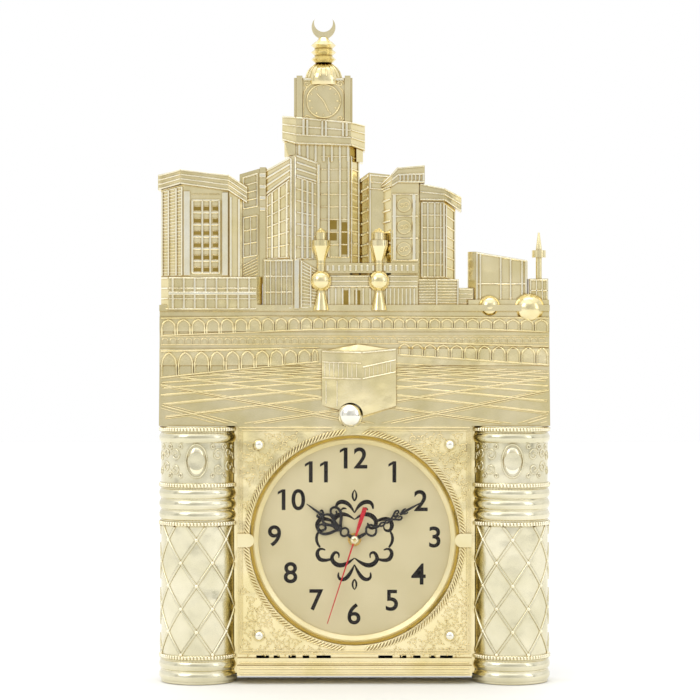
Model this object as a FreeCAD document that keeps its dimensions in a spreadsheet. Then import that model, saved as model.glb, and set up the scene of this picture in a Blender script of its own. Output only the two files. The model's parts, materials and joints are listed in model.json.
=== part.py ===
import FreeCAD, Part
import math
import os
import re
import Sketcher
from FreeCAD import Placement, Rotation, Vector

# A wall clock with a gilt relief of a city skyline over a round dial between two columns.
# X is to the right, Z up and the front faces -Y. The wall is the plane y = 0.
# A depth is a distance from the wall, so it is -y. Heights count from the foot of the columns.
# The origin is the point of the wall where the hanging screw carries the clock.

doc = FreeCAD.newDocument("AzanClock")
sheet = doc.addObject("Spreadsheet::Sheet", "Sizes")

SIZES = {
    # hanging point, walls and clearances
    "hanger_height": 245,
    "wall": 2.5,
    "fit": 0.05,
    "gap": 0.35,
    "seat": 4,
    # back cover
    "cover_half": 146,
    "cover_low": 1,
    "cover_high": 272,
    "cover_thick": 2.5,
    "rim_width": 4,
    "hanger_window_width": 16,
    "hanger_window_height": 30,
    "hanger_window_over": 8,
    "hanger_over": 14,
    "hanger_shank": 2.3,
    "hanger_head": 4.6,
    "hanger_head_drop": 14,
    "rivet_side": 12,
    "rivet_drop": 8,
    "rivet_radius": 1.5,
    "rivet_head_radius": 2.8,
    "rivet_head_thick": 1.2,
    "movement_window": 62,
    # dial, bezel and glass
    "dial_height": 107,
    "dial_opening": 79,
    "dial_front": 25,
    "dial_thick": 1,
    "bezel_inner": 72.5,
    "bezel_lip": 2,
    "bezel_rim": 2.2,
    "lens_back": 32.4,
    "lens_inset": 0.1,
    "dial_post_ring": 68,
    "dial_post_radius": 3,
    # square surround of the dial
    "surround_half": 88,
    "surround_low": 6,
    "surround_front": 34,
    "collar_thick": 2.5,
    "collar_back": 22,
    "plinth_high": 18.8,
    "plinth_step": 13.5,
    "plinth_depth": 37,
    "plinth_foot_depth": 40,
    "slot_high": 20.6,
    "stud_ring": 71.7,
    "stud_radius": 4.15,
    "clip_reach": 75.3,
    "clip_half": 5.1,
    "clip_thick": 1.6,
    # screw posts
    "boss_radius": 4,
    "screw_radius": 1.5,
    "screw_length": 12,
    "screw_head_radius": 3.5,
    "screw_head_thick": 1.3,
    "surround_boss_side": 80,
    "surround_boss_low": 25,
    "surround_boss_high": 186,
    "panel_boss_side": 125,
    "panel_boss_height": 255,
    # columns
    "column_radius": 28.5,
    "column_axis": 17,
    "column_height": 193,
    "column_wall": 3,
    "ring_thick": 7.4,
    "ring_proud": 1.5,
    "ring_gap": 0.7,
    "bead_thick": 3.8,
    "bead_proud": 1,
    "column_foot": 1.6,
    "column_neck": 117.8,
    "medallion_half": 6.6,
    "medallion_height": 167,
    "medallion_proud": 1.6,
    "column_boss_low": 14,
    "column_boss_high": 178,
    # chrome push button over the dial
    "button_side": -3.1,
    "button_height": 201,
    "button_radius": 9.2,
    "button_rise": 5.2,
    "button_shank": 6,
    "button_back": 24,
    "button_flange": 6.9,
    "button_flange_thick": 1.7,
    "button_guide": 1.8,
    "button_stem_radius": 2,
    "button_stem_back": 16,
    "button_travel": 1.5,
    "guide_inset": 2.8,
    "button_board_half_width": 11,
    "button_board_half_height": 5,
    "button_board_thick": 1.6,
    "button_board_drop": 0.4,
    "switch_body_half": 3,
    "switch_body_thick": 1.6,
    "switch_plunger_radius": 1.6,
    "button_post_side": 8,
    "spring_radius": 4.2,
    "spring_wire": 0.35,
    "spring_turns": 5,
    # clock movement
    "case_half": 28,
    "case_back": 7.5,
    "case_thick": 1,
    "case_split": 18.4,
    "bush_radius": 1.2,
    "post_pipe_radius": 3.6,
    "shaft_radius": 0.5,
    "second_teeth": 50,
    "second_leaves": 8,
    "intermediate_teeth": 48,
    "intermediate_leaves": 10,
    "rotor_leaves": 8,
    "third_teeth": 60,
    "third_leaves": 8,
    "centre_teeth": 64,
    "cannon_leaves": 12,
    "motion_teeth": 36,
    "motion_leaves": 10,
    "hour_teeth": 40,
    # depths of the layers of the train, from the back of the movement to its front
    "layer_one": 10.6,
    "layer_two": 12.4,
    "layer_three": 15.6,
    "layer_four": 17.2,
    "layer_five": 18.8,
    "layer_six": 20.6,
    "wheel_thick": 0.8,
    "rotor_module": 0.25,
    "second_module": 0.32,
    "centre_distance": 9,
    "rotor_magnet_radius": 3,
    "rotor_magnet_thick": 2.8,
    "stator_depth": 14.2,
    "stator_thick": 0.8,
    "stator_leg": 5,
    "coil_left": -21,
    "coil_right": 1,
    "coil_radius": 3.2,
    "coil_drop": 22,
    "bridge_drop": 10.7,
    "bridge_wide": 3.8,
    "yoke_drop": 2,
    "yoke_reach": 11.6,
    "intermediate_clear": 2.6,
    "minute_pipe_radius": 1.4,
    "hour_pipe_radius": 2.4,
    "centre_bore_radius": 1.05,
    "motion_stub_radius": 1,
    "nut_radius": 5,
    "nut_thick": 1.2,
    "nub_radius": 2.7,
    "nub_rise": 1.5,
    "contact_thick": 0.6,
    "knob_radius": 6,
    "cell_radius": 7.15,
    "cell_length": 49.2,
    "cell_height": 19.6,
    "cell_depth": 16.0,
    # hands
    "hour_length": 45,
    "minute_length": 59,
    "second_length": 66.5,
    "second_tail": 25.5,
    "second_half": 0.6,
    "tail_half": 1.7,
    "hour_angle": 306.8,
    "minute_angle": 60.8,
    "second_angle": 198,
    "hub_radius": 3.6,
    # sound unit
    "board_left": -74,
    "board_right": -18,
    "board_low": 142,
    "board_high": 180,
    "board_depth": 11,
    "board_thick": 1.6,
    "board_post": 2.2,
    "volume_side": -63,
    "volume_height": 171,
    "volume_radius": 5,
    "switch_side": -46,
    "switch_travel": 3.5,
    "button_pitch": 9,
    "rear_button_radius": 2.6,
    "rear_button_travel": 0.8,
    "rear_button_side": -64,
    "rear_button_height": 151,
    "speaker_side": -47,
    "speaker_height": 47,
    "speaker_radius": 25,
    "speaker_back": 15,
    "speaker_post": 1.5,
    "magnet_radius": 12,
    "bay_side": 48,
    "bay_height": 46,
    "bay_half_width": 23.5,
    "bay_half_height": 28,
    "bay_depth": 18,
    "door_thick": 1.6,
    "door_travel": 8,
}

# Lengths and starts of the sound slots, counted outwards from the middle of the foot
SLOTS = {"slot_one": (17.8, 10.8), "slot_two": (34, 5), "slot_three": (44, 5.6),
         "slot_four": (56.2, 4.6), "slot_five": (64.2, 9.6)}
for name, (start, length) in SLOTS.items():
    SIZES[name + "_start"] = start
    SIZES[name + "_length"] = length

# Reliefs of the skyline. Each is a run of corners from left to right,
# and each corner has its side, foot, top and depth.
RELIEFS = {
    "hotel": [(-146.5, 300, 371, 19), (-129, 300, 375, 27), (-95, 300, 370, 25.5), (-85, 300, 364, 21)],
    "hotel_cornice": [(-148.7, 371, 382.5, 21), (-131, 375, 386, 31), (-95, 370, 382, 29.5),
                      (-81, 361, 373, 23)],
    "hotel_pilaster": [(-94.5, 302, 370, 27.5), (-86.3, 302, 366, 25)],
    "hotel_podium": [(-146, 280, 305, 25), (-140, 280, 305, 31), (-73.4, 280, 305, 30), (-69.7, 280, 305, 26)],
    "annex": [(-87, 300, 383, 20), (-72.7, 300, 387, 22), (-66.6, 300, 388, 22)],
    "annex_pilaster": [(-71.5, 300, 388, 25), (-67, 300, 388, 25)],
    "block": [(-68, 280, 385.5, 22), (-48.6, 280, 395.5, 28), (-44, 280, 397.5, 29), (-26, 280, 391, 25)],
    "block_edge": [(-28.4, 312, 391, 27.5), (-26, 312, 390.5, 27.5)],
    "block_hall": [(-69, 280, 318.5, 27), (-41, 280, 318.5, 30), (-25, 280, 309, 28)],
    "shaft": [(-44, 280, 408, 26), (-3.4, 280, 406, 27), (3.4, 280, 404, 20)],
    "gallery": [(-54.6, 408.5, 427, 23), (-44, 405, 425.5, 31), (-2.6, 403.5, 421.5, 32), (7.9, 400.5, 420, 22)],
    "gallery_left_lip": [(-53, 396, 410, 22), (-49, 396, 410, 26)],
    "gallery_right_lip": [(1.5, 392, 404, 27), (6.4, 392, 404, 22)],
    "clock_box": [(-45.6, 420, 455, 29), (-1.5, 417, 455, 29)],
    "clock_left_post": [(-43.6, 422, 456.5, 31), (-39.2, 422, 456.5, 31)],
    "clock_right_post": [(-7.4, 420, 456.5, 31), (-3, 420, 456.5, 31)],
    "corner": [(1.9, 300, 378, 17), (10.9, 300, 384, 25), (26.7, 300, 382.5, 22.5)],
    "round_tower": [(18.4, 300, 373, 20), (27.5, 300, 376, 28), (48.5, 300, 376, 26.5), (52.5, 300, 374, 22)],
    "round_cornice": [(18.4, 370, 374, 21), (28, 373, 382.5, 30), (32.5, 376, 387.5, 30.5),
                      (53, 376, 389.5, 27)],
    "flat": [(50, 300, 363, 24), (68.1, 300, 362.5, 25), (76.4, 300, 356.5, 18)],
    "flat_cornice": [(49.3, 363, 376, 26), (68, 362.5, 372, 28), (81, 354.5, 366, 20)],
    "flat_podium": [(47.8, 280, 303.5, 26), (61.4, 280, 303.5, 28), (78.7, 280, 303.5, 25)],
    "forecourt": [(-26, 280, 306.5, 28), (47.8, 280, 306.5, 28)],
    "forecourt_band": [(-26, 308, 315.5, 29.5), (47.8, 308, 315.5, 29.5)],
    "annex_low": [(78, 280, 297, 22), (90, 280, 297, 20)],
    "slab": [(86.2, 284, 324.5, 16), (91.5, 284, 324.5, 20), (130.6, 284, 318, 19), (131.4, 284, 317.5, 16)],
    "dome_row": [(86, 278, 288, 24), (132.5, 278, 288, 24), (147, 278, 288, 24)],
    "gate": [(132.2, 280, 304, 22), (146.5, 280, 304, 22)],
    "cube": [(-24.5, 208.5, 250, 32), (5.6, 200.5, 249, 40), (31.2, 208, 251.5, 33)],
}
WORDS = ("side", "foot", "top", "depth")
for name, corners in RELIEFS.items():
    for spot, corner in enumerate(corners):
        for word, value in zip(WORDS, corner):
            SIZES[f"{name}_{word}_{spot}"] = value

# Courtyard: a slab that leans forward towards its lower edge
SIZES.update({
    "court_half": 147,
    "court_top": 284,
    "court_break": 243,
    "court_top_depth": 26,
    "court_break_depth": 27.5,
    "court_low_depth": 34,
    "ledge_foot": 279.4,
    "ledge_proud": 4,
    "arcade_top": 275,
    "arcade_foot": 264,
    "arcade_proud": 2,
    "cloister_top": 251,
    "cloister_foot": 238.5,
    "cloister_proud": 3,
})

# Turned ornaments of the skyline
SIZES.update({
    "spire_side": -23.4,
    "spire_depth": 22,
    "dome_side": -23.3,
    "dome_radius": 13.6,
    "dome_foot": 454,
    "dome_rise": 15,
    "finial_foot": 467,
    "finial_bulge": 9.4,
    "finial_step": 5.3,
    "neck_radius": 3.4,
    "crescent_height": 494,
    "crescent_radius": 9,
    "crescent_inner": 7.2,
    "crescent_shift": 3.5,
    "crescent_half": 2,
    "face_height": 437.5,
    "face_radius": 13.2,
    "face_proud": 0.8,
    "minaret_depth": 29.2,
    "minaret_radius": 3,
    "minaret_top": 341.9,
    "minaret_foot": 284,
    "minaret_balcony": 328.3,
    "minaret_balcony_radius": 6.8,
    "minaret_ball": 7.9,
    "minaret_ball_height": 302,
    "minaret_base_radius": 6,
    "minaret_left_side": -25.2,
    "minaret_right_side": 18.4,
    "far_side": 139.7,
    "far_depth": 18,
    "far_radius": 2.3,
    "far_balcony": 320,
    "far_balcony_radius": 5.3,
    "far_top": 339,
    "small_dome_side": 102,
    "small_dome_radius": 8.3,
    "wide_dome_side": 132.2,
    "wide_dome_radius": 12,
    "small_dome_height": 283,
    "small_dome_depth": 24,
    "medal_side": 37.3,
    "medal_radius": 4.9,
    "medal_depth": 28.6,
    "medal_low": 326,
    "medal_pitch": 16.6,
})

for row, (alias, value) in enumerate(SIZES.items(), start=1):
    sheet.set(f"A{row}", alias)
    sheet.set(f"B{row}", str(value))
    sheet.setAlias(f"B{row}", alias)
doc.recompute()

# Places that follow from the sizes above
DERIVED = {
    "column_side": "(surround_half + ring_proud + column_radius)",
    "button_rim": "(court_low_depth + button_travel + gap)",
    "button_ball_radius": "((button_radius * button_radius + button_rise * button_rise) / (2 * button_rise))",
}

nodes = []
rises = {}


def size(alias):
    return float(sheet.get(alias))


def bound(text):
    """An expression with every name of the sheet made a reference to its cell."""
    def refer(found):
        word = found.group()
        if word in DERIVED:
            return bound(DERIVED[word])
        return "Sizes." + word if word in SIZES else word
    return re.sub(r"[a-z][a-z_0-9]*", refer, str(text))


def bind(thing, prop, text):
    thing.setExpression(prop, bound(text))


def put(thing, side, depth, height, turn=None):
    if turn is not None:
        thing.Placement = Placement(Vector(0, 0, 0), turn)
    bind(thing, "Placement.Base.x", side)
    bind(thing, "Placement.Base.y", f"-({depth})")
    bind(thing, "Placement.Base.z", height)
    rises[thing.Name] = f"({height})"
    return thing


def node(label, thing):
    thing.Label = label
    bind(thing, "Placement.Base.z", f"{rises.get(thing.Name, '0')} - hanger_height")
    nodes.append(thing)
    return thing


FORWARD = Rotation(Vector(1, 0, 0), 90)
RIGHTWARD = Rotation(Vector(0, 1, 0), 90)


def box(name, sides, depths, heights):
    thing = doc.addObject("Part::Box", name)
    bind(thing, "Length", f"({sides[1]}) - ({sides[0]})")
    bind(thing, "Width", f"({depths[1]}) - ({depths[0]})")
    bind(thing, "Height", f"({heights[1]}) - ({heights[0]})")
    return put(thing, sides[0], depths[1], heights[0])


def rod(name, side, height, radius, depths):
    """A cylinder that points away from the wall."""
    thing = doc.addObject("Part::Cylinder", name)
    bind(thing, "Radius", radius)
    bind(thing, "Height", f"({depths[1]}) - ({depths[0]})")
    return put(thing, side, depths[0], height, FORWARD)


def pillar(name, side, depth, radius, heights):
    thing = doc.addObject("Part::Cylinder", name)
    bind(thing, "Radius", radius)
    bind(thing, "Height", f"({heights[1]}) - ({heights[0]})")
    return put(thing, side, depth, heights[0])


def bar(name, sides, depth, height, radius):
    thing = doc.addObject("Part::Cylinder", name)
    bind(thing, "Radius", radius)
    bind(thing, "Height", f"({sides[1]}) - ({sides[0]})")
    return put(thing, sides[0], depth, height, RIGHTWARD)


def cone(name, side, depth, radii, heights):
    thing = doc.addObject("Part::Cone", name)
    bind(thing, "Radius1", radii[0])
    bind(thing, "Radius2", radii[1])
    bind(thing, "Height", f"({heights[1]}) - ({heights[0]})")
    return put(thing, side, depth, heights[0])


def ball(name, side, depth, height, radius):
    thing = doc.addObject("Part::Sphere", name)
    bind(thing, "Radius", radius)
    return put(thing, side, depth, height)


def fuse(name, things):
    thing = doc.addObject("Part::MultiFuse", name)
    thing.Shapes = things
    return thing


def cut(name, base, tools):
    thing = doc.addObject("Part::Cut", name)
    thing.Base = base
    thing.Tool = tools[0] if len(tools) == 1 else fuse(name + "_tools", tools)
    return thing


def common(name, things):
    thing = doc.addObject("Part::MultiCommon", name)
    thing.Shapes = things
    return thing


def group(name, things):
    """Separate solids of one kind that share a node."""
    thing = doc.addObject("Part::Compound", name)
    thing.Links = things
    return thing


def outline(name, points, owner=None, plane=None):
    """A closed sketch whose corners are bound to the sheet."""
    if owner is None:
        sketch = doc.addObject("Sketcher::SketchObject", name)
    else:
        sketch = owner.newObject("Sketcher::SketchObject", name)
        sketch.AttachmentSupport = (plane, [""])
        sketch.MapMode = "FlatFace"
    count = len(points)
    spots = []
    for across, up in points:
        spots.append(Vector(number(across), number(up), 0))
    lines = [Part.LineSegment(spots[i], spots[(i + 1) % count]) for i in range(count)]
    sketch.addGeometry(lines)
    for i in range(count):
        sketch.addConstraint(Sketcher.Constraint("Coincident", i, 2, (i + 1) % count, 1))
    for i, (across, up) in enumerate(points):
        for kind, text, value in (("DistanceX", across, spots[i].x), ("DistanceY", up, spots[i].y)):
            place = sketch.addConstraint(Sketcher.Constraint(kind, -1, 1, i, 1, value))
            bind(sketch, f"Constraints[{place}]", text)
    return sketch


def number(text):
    """The present value of an expression of the sheet's names."""
    return float(sheet.evalExpression(bound(text)))


def slab(name, points, depths):
    """An outline of sides and heights, from one depth to another."""
    sketch = outline(name + "_outline", points)
    thing = doc.addObject("Part::Extrusion", name)
    thing.Base = sketch
    thing.DirMode = "Custom"
    thing.Dir = Vector(0, 0, 1)
    thing.Solid = True
    bind(thing, "LengthFwd", f"({depths[1]}) - ({depths[0]})")
    return put(thing, "0", depths[0], "0", FORWARD)


def prism(name, points, heights):
    """An outline of sides and depths, from one height to another."""
    sketch = outline(name + "_outline", [(side, f"-({depth})") for side, depth in points])
    thing = doc.addObject("Part::Extrusion", name)
    thing.Base = sketch
    thing.DirMode = "Custom"
    thing.Dir = Vector(0, 0, 1)
    thing.Solid = True
    bind(thing, "LengthFwd", f"({heights[1]}) - ({heights[0]})")
    return put(thing, "0", "0", heights[0])


def wedge(name, points, sides):
    """An outline of depths and heights, from one side to another."""
    sketch = outline(name + "_outline", [(height, depth) for depth, height in points])
    thing = doc.addObject("Part::Extrusion", name)
    thing.Base = sketch
    thing.DirMode = "Custom"
    thing.Dir = Vector(0, 0, 1)
    thing.Solid = True
    bind(thing, "LengthFwd", f"({sides[1]}) - ({sides[0]})")
    turn = Rotation(Vector(0, 0, 1), Vector(0, -1, 0), Vector(1, 0, 0), "ZXY")
    return put(thing, sides[0], "0", "0", turn)


def turned(label, points, side, height):
    """A turned piece about an axis that points away from the wall, from radii and depths."""
    body = doc.addObject("PartDesign::Body", label + "_body")
    plane = [part for part in body.Origin.OriginFeatures if part.Role == "XY_Plane"][0]
    sketch = outline(label + "_profile", [(radius, f"-({depth})") for radius, depth in points], body, plane)
    spin = body.newObject("PartDesign::Revolution", label + "_turn")
    spin.Profile = sketch
    spin.ReferenceAxis = (sketch, ["V_Axis"])
    spin.Angle = 360
    return put(body, side, "0", height)


def sheet_piece(label, points, depths, holes=()):
    """A flat piece facing the front, from sides and heights, with round holes."""
    body = doc.addObject("PartDesign::Body", label + "_body")
    plane = [part for part in body.Origin.OriginFeatures if part.Role == "XZ_Plane"][0]
    sketch = outline(label + "_profile", points, body, plane)
    pad = body.newObject("PartDesign::Pad", label + "_pad")
    pad.Profile = sketch
    bind(pad, "Length", f"({depths[1]}) - ({depths[0]})")
    doc.recompute()
    for spot, (side, height, radius) in enumerate(holes):
        drill = body.newObject("Sketcher::SketchObject", f"{label}_hole_{spot}")
        drill.AttachmentSupport = (plane, [""])
        drill.MapMode = "FlatFace"
        drill.addGeometry(Part.Circle(Vector(number(side), number(height), 0), Vector(0, 0, 1), number(radius)))
        for kind, text in (("DistanceX", side), ("DistanceY", height)):
            place = drill.addConstraint(Sketcher.Constraint(kind, -1, 1, 0, 3, number(text)))
            bind(drill, f"Constraints[{place}]", text)
        place = drill.addConstraint(Sketcher.Constraint("Radius", 0, number(radius)))
        bind(drill, f"Constraints[{place}]", radius)
        pocket = body.newObject("PartDesign::Pocket", f"{label}_pocket_{spot}")
        pocket.Profile = drill
        pocket.Type = "ThroughAll"
        pocket.Midplane = True
    body.Tip = body.Group[-1]
    return put(body, "0", depths[0], "0")


def toothed_rim(name, teeth, module, phase, near, thick, side, height):
    """A toothed wheel with flanks that lean in from the pitch circle, leaving running play."""
    pitch = teeth * module / 2
    tip = pitch + 0.8 * module
    root = pitch - 1.1 * module
    half = 0.75 * math.pi / (2 * teeth)
    corners = []
    for tooth in range(int(teeth)):
        middle = math.radians(phase) + tooth * 2 * math.pi / teeth
        for radius, share in ((root, -1), (pitch, -1), (tip, -0.35), (tip, 0.35), (pitch, 1), (root, 1)):
            angle = middle + share * half
            corners.append(Vector(radius * math.cos(angle), 0, radius * math.sin(angle)))
    wire = Part.makePolygon(corners + corners[:1])
    thing = doc.addObject("Part::Feature", name)
    thing.Shape = Part.Face(wire).extrude(Vector(0, -thick, 0))
    return put(thing, side, near, height)


# Skyline panel
def relief(name, corners, inset="0", back="seat"):
    count = len(corners)

    def value(word, place):
        return f"{name}_{word}_{place}"

    def side(place):
        if place == 0:
            return f"{value('side', 0)} + {inset}"
        if place == count - 1:
            return f"{value('side', place)} - {inset}"
        return value("side", place)

    title = name if inset == "0" else name + "_hollow"
    plan = [(side(0), back)]
    plan += [(side(place), f"{value('depth', place)} - {inset}") for place in range(count)]
    plan += [(side(count - 1), back)]
    face = [(side(place), f"{value('foot', place)} + {inset}") for place in range(count)]
    face += [(side(place), f"{value('top', place)} - {inset}") for place in reversed(range(count))]
    deepest = max(range(count), key=lambda place: corners[place][3])
    lowest = min(range(count), key=lambda place: corners[place][1])
    highest = max(range(count), key=lambda place: corners[place][2])
    upright = prism(title + "_plan", plan, (f"{value('foot', lowest)} - wall", f"{value('top', highest)} + wall"))
    front = slab(title + "_front", face, (back, f"{value('depth', deepest)} + wall"))
    return common(title, [upright, front])


def crescent():
    disc = rod("crescent_disc", "spire_side", "crescent_height", "crescent_radius",
               ("spire_depth - crescent_half", "spire_depth + crescent_half"))
    bite = rod("crescent_bite", "spire_side", "crescent_height + crescent_shift", "crescent_inner",
               ("spire_depth - crescent_half - wall", "spire_depth + crescent_half + wall"))
    return cut("crescent", disc, [bite])


def finial():
    pieces = []
    for step in range(3):
        low = f"finial_foot + {step} * finial_step"
        pieces.append(cone(f"finial_low_{step}", "spire_side", "spire_depth",
                           ("finial_bulge * 0.7", "finial_bulge"), (low, f"{low} + finial_step / 2")))
        pieces.append(cone(f"finial_high_{step}", "spire_side", "spire_depth",
                           ("finial_bulge", "finial_bulge * 0.7"),
                           (f"{low} + finial_step / 2", f"{low} + finial_step")))
    pieces.append(cone("finial_neck", "spire_side", "spire_depth", ("finial_bulge * 0.6", "neck_radius"),
                       ("finial_foot + 3 * finial_step", "crescent_height - crescent_radius + 1")))
    return pieces


def minaret(name, side):
    top = "minaret_top"
    balcony = "minaret_balcony"
    return [
        pillar(name + "_shaft", side, "minaret_depth", "minaret_radius", ("minaret_foot", balcony)),
        cone(name + "_flare", side, "minaret_depth", ("minaret_radius", "minaret_balcony_radius"),
             (f"{balcony} - 11", balcony)),
        pillar(name + "_rail", side, "minaret_depth", "minaret_balcony_radius", (balcony, f"{balcony} + 4.2")),
        pillar(name + "_lantern", side, "minaret_depth", "minaret_radius * 1.4",
               (f"{balcony} + 4.2", f"{top} - 3.5")),
        cone(name + "_cap", side, "minaret_depth", ("minaret_radius * 1.5", "0.4"), (f"{top} - 3.5", top)),
        ball(name + "_ball", side, "minaret_depth", "minaret_ball_height", "minaret_ball"),
        cone(name + "_base", side, "minaret_depth", ("minaret_base_radius", "minaret_radius"),
             ("minaret_foot - 4", "minaret_foot + 9")),
    ]


def skyline_panel():
    solid = []
    hollow = []
    thin = {"hotel_pilaster", "annex_pilaster", "block_edge", "gallery_left_lip", "gallery_right_lip",
            "clock_left_post", "clock_right_post", "round_cornice", "hotel_cornice", "flat_cornice",
            "forecourt_band", "dome_row"}
    for name, corners in RELIEFS.items():
        solid.append(relief(name, corners))
        if name not in thin:
            hollow.append(relief(name, corners, "wall", "seat - 1"))
    court = [("seat", "column_height"), ("court_low_depth", "column_height"), ("court_break_depth", "court_break"),
             ("court_top_depth", "court_top"), ("seat", "court_top")]
    solid.append(wedge("court", court, ("-court_half", "court_half")))
    inner = [("seat - 1", "column_height + wall"), ("court_low_depth - wall", "column_height + wall"),
             ("court_break_depth - wall", "court_break"), ("court_top_depth - wall", "court_top - wall"),
             ("seat - 1", "court_top - wall")]
    hollow.append(wedge("court_hollow", inner, ("wall - court_half", "court_half - wall")))
    for name in ("ledge", "arcade", "cloister"):
        top = "court_top" if name == "ledge" else name + "_top"
        solid.append(box(name, ("-court_half", "court_half"),
                         ("court_top_depth - wall", f"court_top_depth + {name}_proud"), (name + "_foot", top)))
    # tower: dome, finial, crescent and the plain clock face on its box
    dome = ball("tower_dome_ball", "dome_side", "spire_depth - 2", "dome_foot", "dome_radius")
    upper = box("tower_dome_half", ("dome_side - dome_radius - 1", "dome_side + dome_radius + 1"),
                ("spire_depth - 2 - dome_radius", "spire_depth + dome_radius"),
                ("dome_foot - 4", "dome_foot + dome_rise + 2"))
    solid.append(common("tower_dome", [dome, upper]))
    solid += finial()
    solid.append(crescent())
    solid.append(rod("tower_face", "dome_side", "face_height", "face_radius",
                     ("clock_box_depth_0 - wall", "clock_box_depth_0 + face_proud")))
    for spot in range(3):
        solid.append(rod(f"medal_{spot}", "medal_side", f"medal_low + {spot} * medal_pitch",
                         "medal_radius", ("medal_depth - 4", "medal_depth")))
    solid += minaret("left_minaret", "minaret_left_side")
    solid += minaret("right_minaret", "minaret_right_side")
    # minaret and domes at the far right
    solid.append(pillar("far_shaft", "far_side", "far_depth", "far_radius", ("gate_top_0 - 2", "far_top - 12")))
    solid.append(pillar("far_balcony", "far_side", "far_depth", "far_balcony_radius",
                        ("far_balcony", "far_balcony + 5.5")))
    solid.append(cone("far_spire", "far_side", "far_depth", ("far_radius", "0.7"), ("far_top - 12", "far_top")))
    solid.append(ball("small_dome", "small_dome_side", "small_dome_depth - 2", "small_dome_height",
                      "small_dome_radius"))
    solid.append(ball("wide_dome", "wide_dome_side", "small_dome_depth - 4", "small_dome_height - 2",
                      "wide_dome_radius"))
    # posts for the screws
    for word, sign in (("left", "-"), ("right", "")):
        solid.append(rod(f"panel_{word}_boss", f"{sign}panel_boss_side", "panel_boss_height", "boss_radius",
                         ("seat", "court_top_depth - 1")))
    hull = cut("skyline_shell", fuse("skyline_outside", solid), hollow)
    # guide of the push button, and the room that its head needs in the foot of the cube
    late = [rod("panel_guide", "button_side", "button_height", "button_shank + button_guide",
                ("button_back + button_flange_thick + gap", "court_low_depth - guide_inset"))]
    for word, sign in (("left", "-"), ("right", "")):
        late.append(rod(f"panel_{word}_post", f"{sign}panel_boss_side", "panel_boss_height", "boss_radius",
                        ("seat", "court_top_depth - 1")))
    holes = [rod("panel_button_hole", "button_side", "button_height", "button_shank + fit",
                 ("button_back", "court_low_depth + 5")),
             rod("panel_flange_room", "button_side", "button_height", "button_flange + gap",
                 ("button_back - button_travel - gap", "button_back + button_flange_thick + gap")),
             rod("panel_head_room", "button_side", "button_height", "button_radius + gap",
                 ("court_low_depth + fit", "button_rim + 2 * button_rise"))]
    for word, sign in (("left", "-"), ("right", "")):
        holes.append(rod(f"panel_{word}_screw_hole", f"{sign}panel_boss_side", "panel_boss_height",
                         "screw_radius", ("seat - 1", "screw_length + 1")))
    return cut("panel_finished", fuse("panel_with_posts", [hull] + late), holes)


node("skyline_panel", skyline_panel())


# Columns
RING = "ring_thick"
BEAD = "bead_thick"
FOOT = [(RING, "column_foot"), (RING, "column_foot + ring_thick + ring_gap"),
        (BEAD, "column_foot + 2 * ring_thick + 2 * ring_gap")]
NECK = [(BEAD, "column_neck"), (RING, "column_neck + bead_thick + ring_gap"),
        (RING, "column_neck + bead_thick + ring_thick + 2 * ring_gap"),
        (RING, "column_neck + bead_thick + 2 * ring_thick + 3 * ring_gap"),
        (BEAD, "column_neck + bead_thick + 3 * ring_thick + 4 * ring_gap")]
HEAD = [(RING, "column_height - bead_thick - ring_thick - 2 * ring_gap"),
        (BEAD, "column_height - bead_thick - ring_gap")]


def column_profile():
    """Radii and heights of the shaft from foot to head, with a mark where an edge swells."""
    points = [("0", "0", ""), ("column_radius", "0", "")]
    for thick, low in FOOT + NECK + HEAD:
        points.append(("column_radius", low, ""))
        points.append(("column_radius", f"{low} + {thick}", "ring_proud" if thick == RING else "bead_proud"))
    points.append(("column_radius", "column_height", ""))
    points.append(("0", "column_height", ""))
    return points


def swelling_sketch(name, points, body, plane):
    """A closed profile in which some upright edges are arcs that stand proud of the shaft."""
    sketch = body.newObject("Sketcher::SketchObject", name)
    sketch.AttachmentSupport = (plane, [""])
    sketch.MapMode = "FlatFace"
    count = len(points)
    spots = [Vector(number(across), number(up), 0) for across, up, swell in points]
    for i in range(count):
        swell = points[(i + 1) % count][2]
        begin = spots[i]
        end = spots[(i + 1) % count]
        if swell:
            way = 1 if begin.x > 0 else -1
            top = Vector(begin.x + way * number(swell), (begin.y + end.y) / 2, 0)
            sketch.addGeometry(Part.Arc(begin, top, end))
        else:
            sketch.addGeometry(Part.LineSegment(begin, end))
    for i in range(count):
        following = (i + 1) % count
        ends = [2 if not backward(points, spots, i) else 1, 1 if not backward(points, spots, following) else 2]
        sketch.addConstraint(Sketcher.Constraint("Coincident", i, ends[0], following, ends[1]))
    for i, (across, up, swell) in enumerate(points):
        start = 2 if backward(points, spots, i) else 1
        for kind, text, value in (("DistanceX", across, spots[i].x), ("DistanceY", up, spots[i].y)):
            place = sketch.addConstraint(Sketcher.Constraint(kind, -1, 1, i, start, value))
            bind(sketch, f"Constraints[{place}]", text)
        swell = points[(i + 1) % count][2]
        if swell:
            half = f"({points[(i + 1) % count][1]} - ({up})) / 2"
            text = f"({half} * {half} + {swell} * {swell}) / (2 * {swell})"
            place = sketch.addConstraint(Sketcher.Constraint("Radius", i, number(text)))
            bind(sketch, f"Constraints[{place}]", text)
    return sketch


def backward(points, spots, i):
    """Whether the sketch keeps edge i as an arc that runs the other way round."""
    count = len(points)
    if not points[(i + 1) % count][2]:
        return False
    begin = spots[i]
    end = spots[(i + 1) % count]
    return (end.y > begin.y) != (begin.x > 0)


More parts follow.
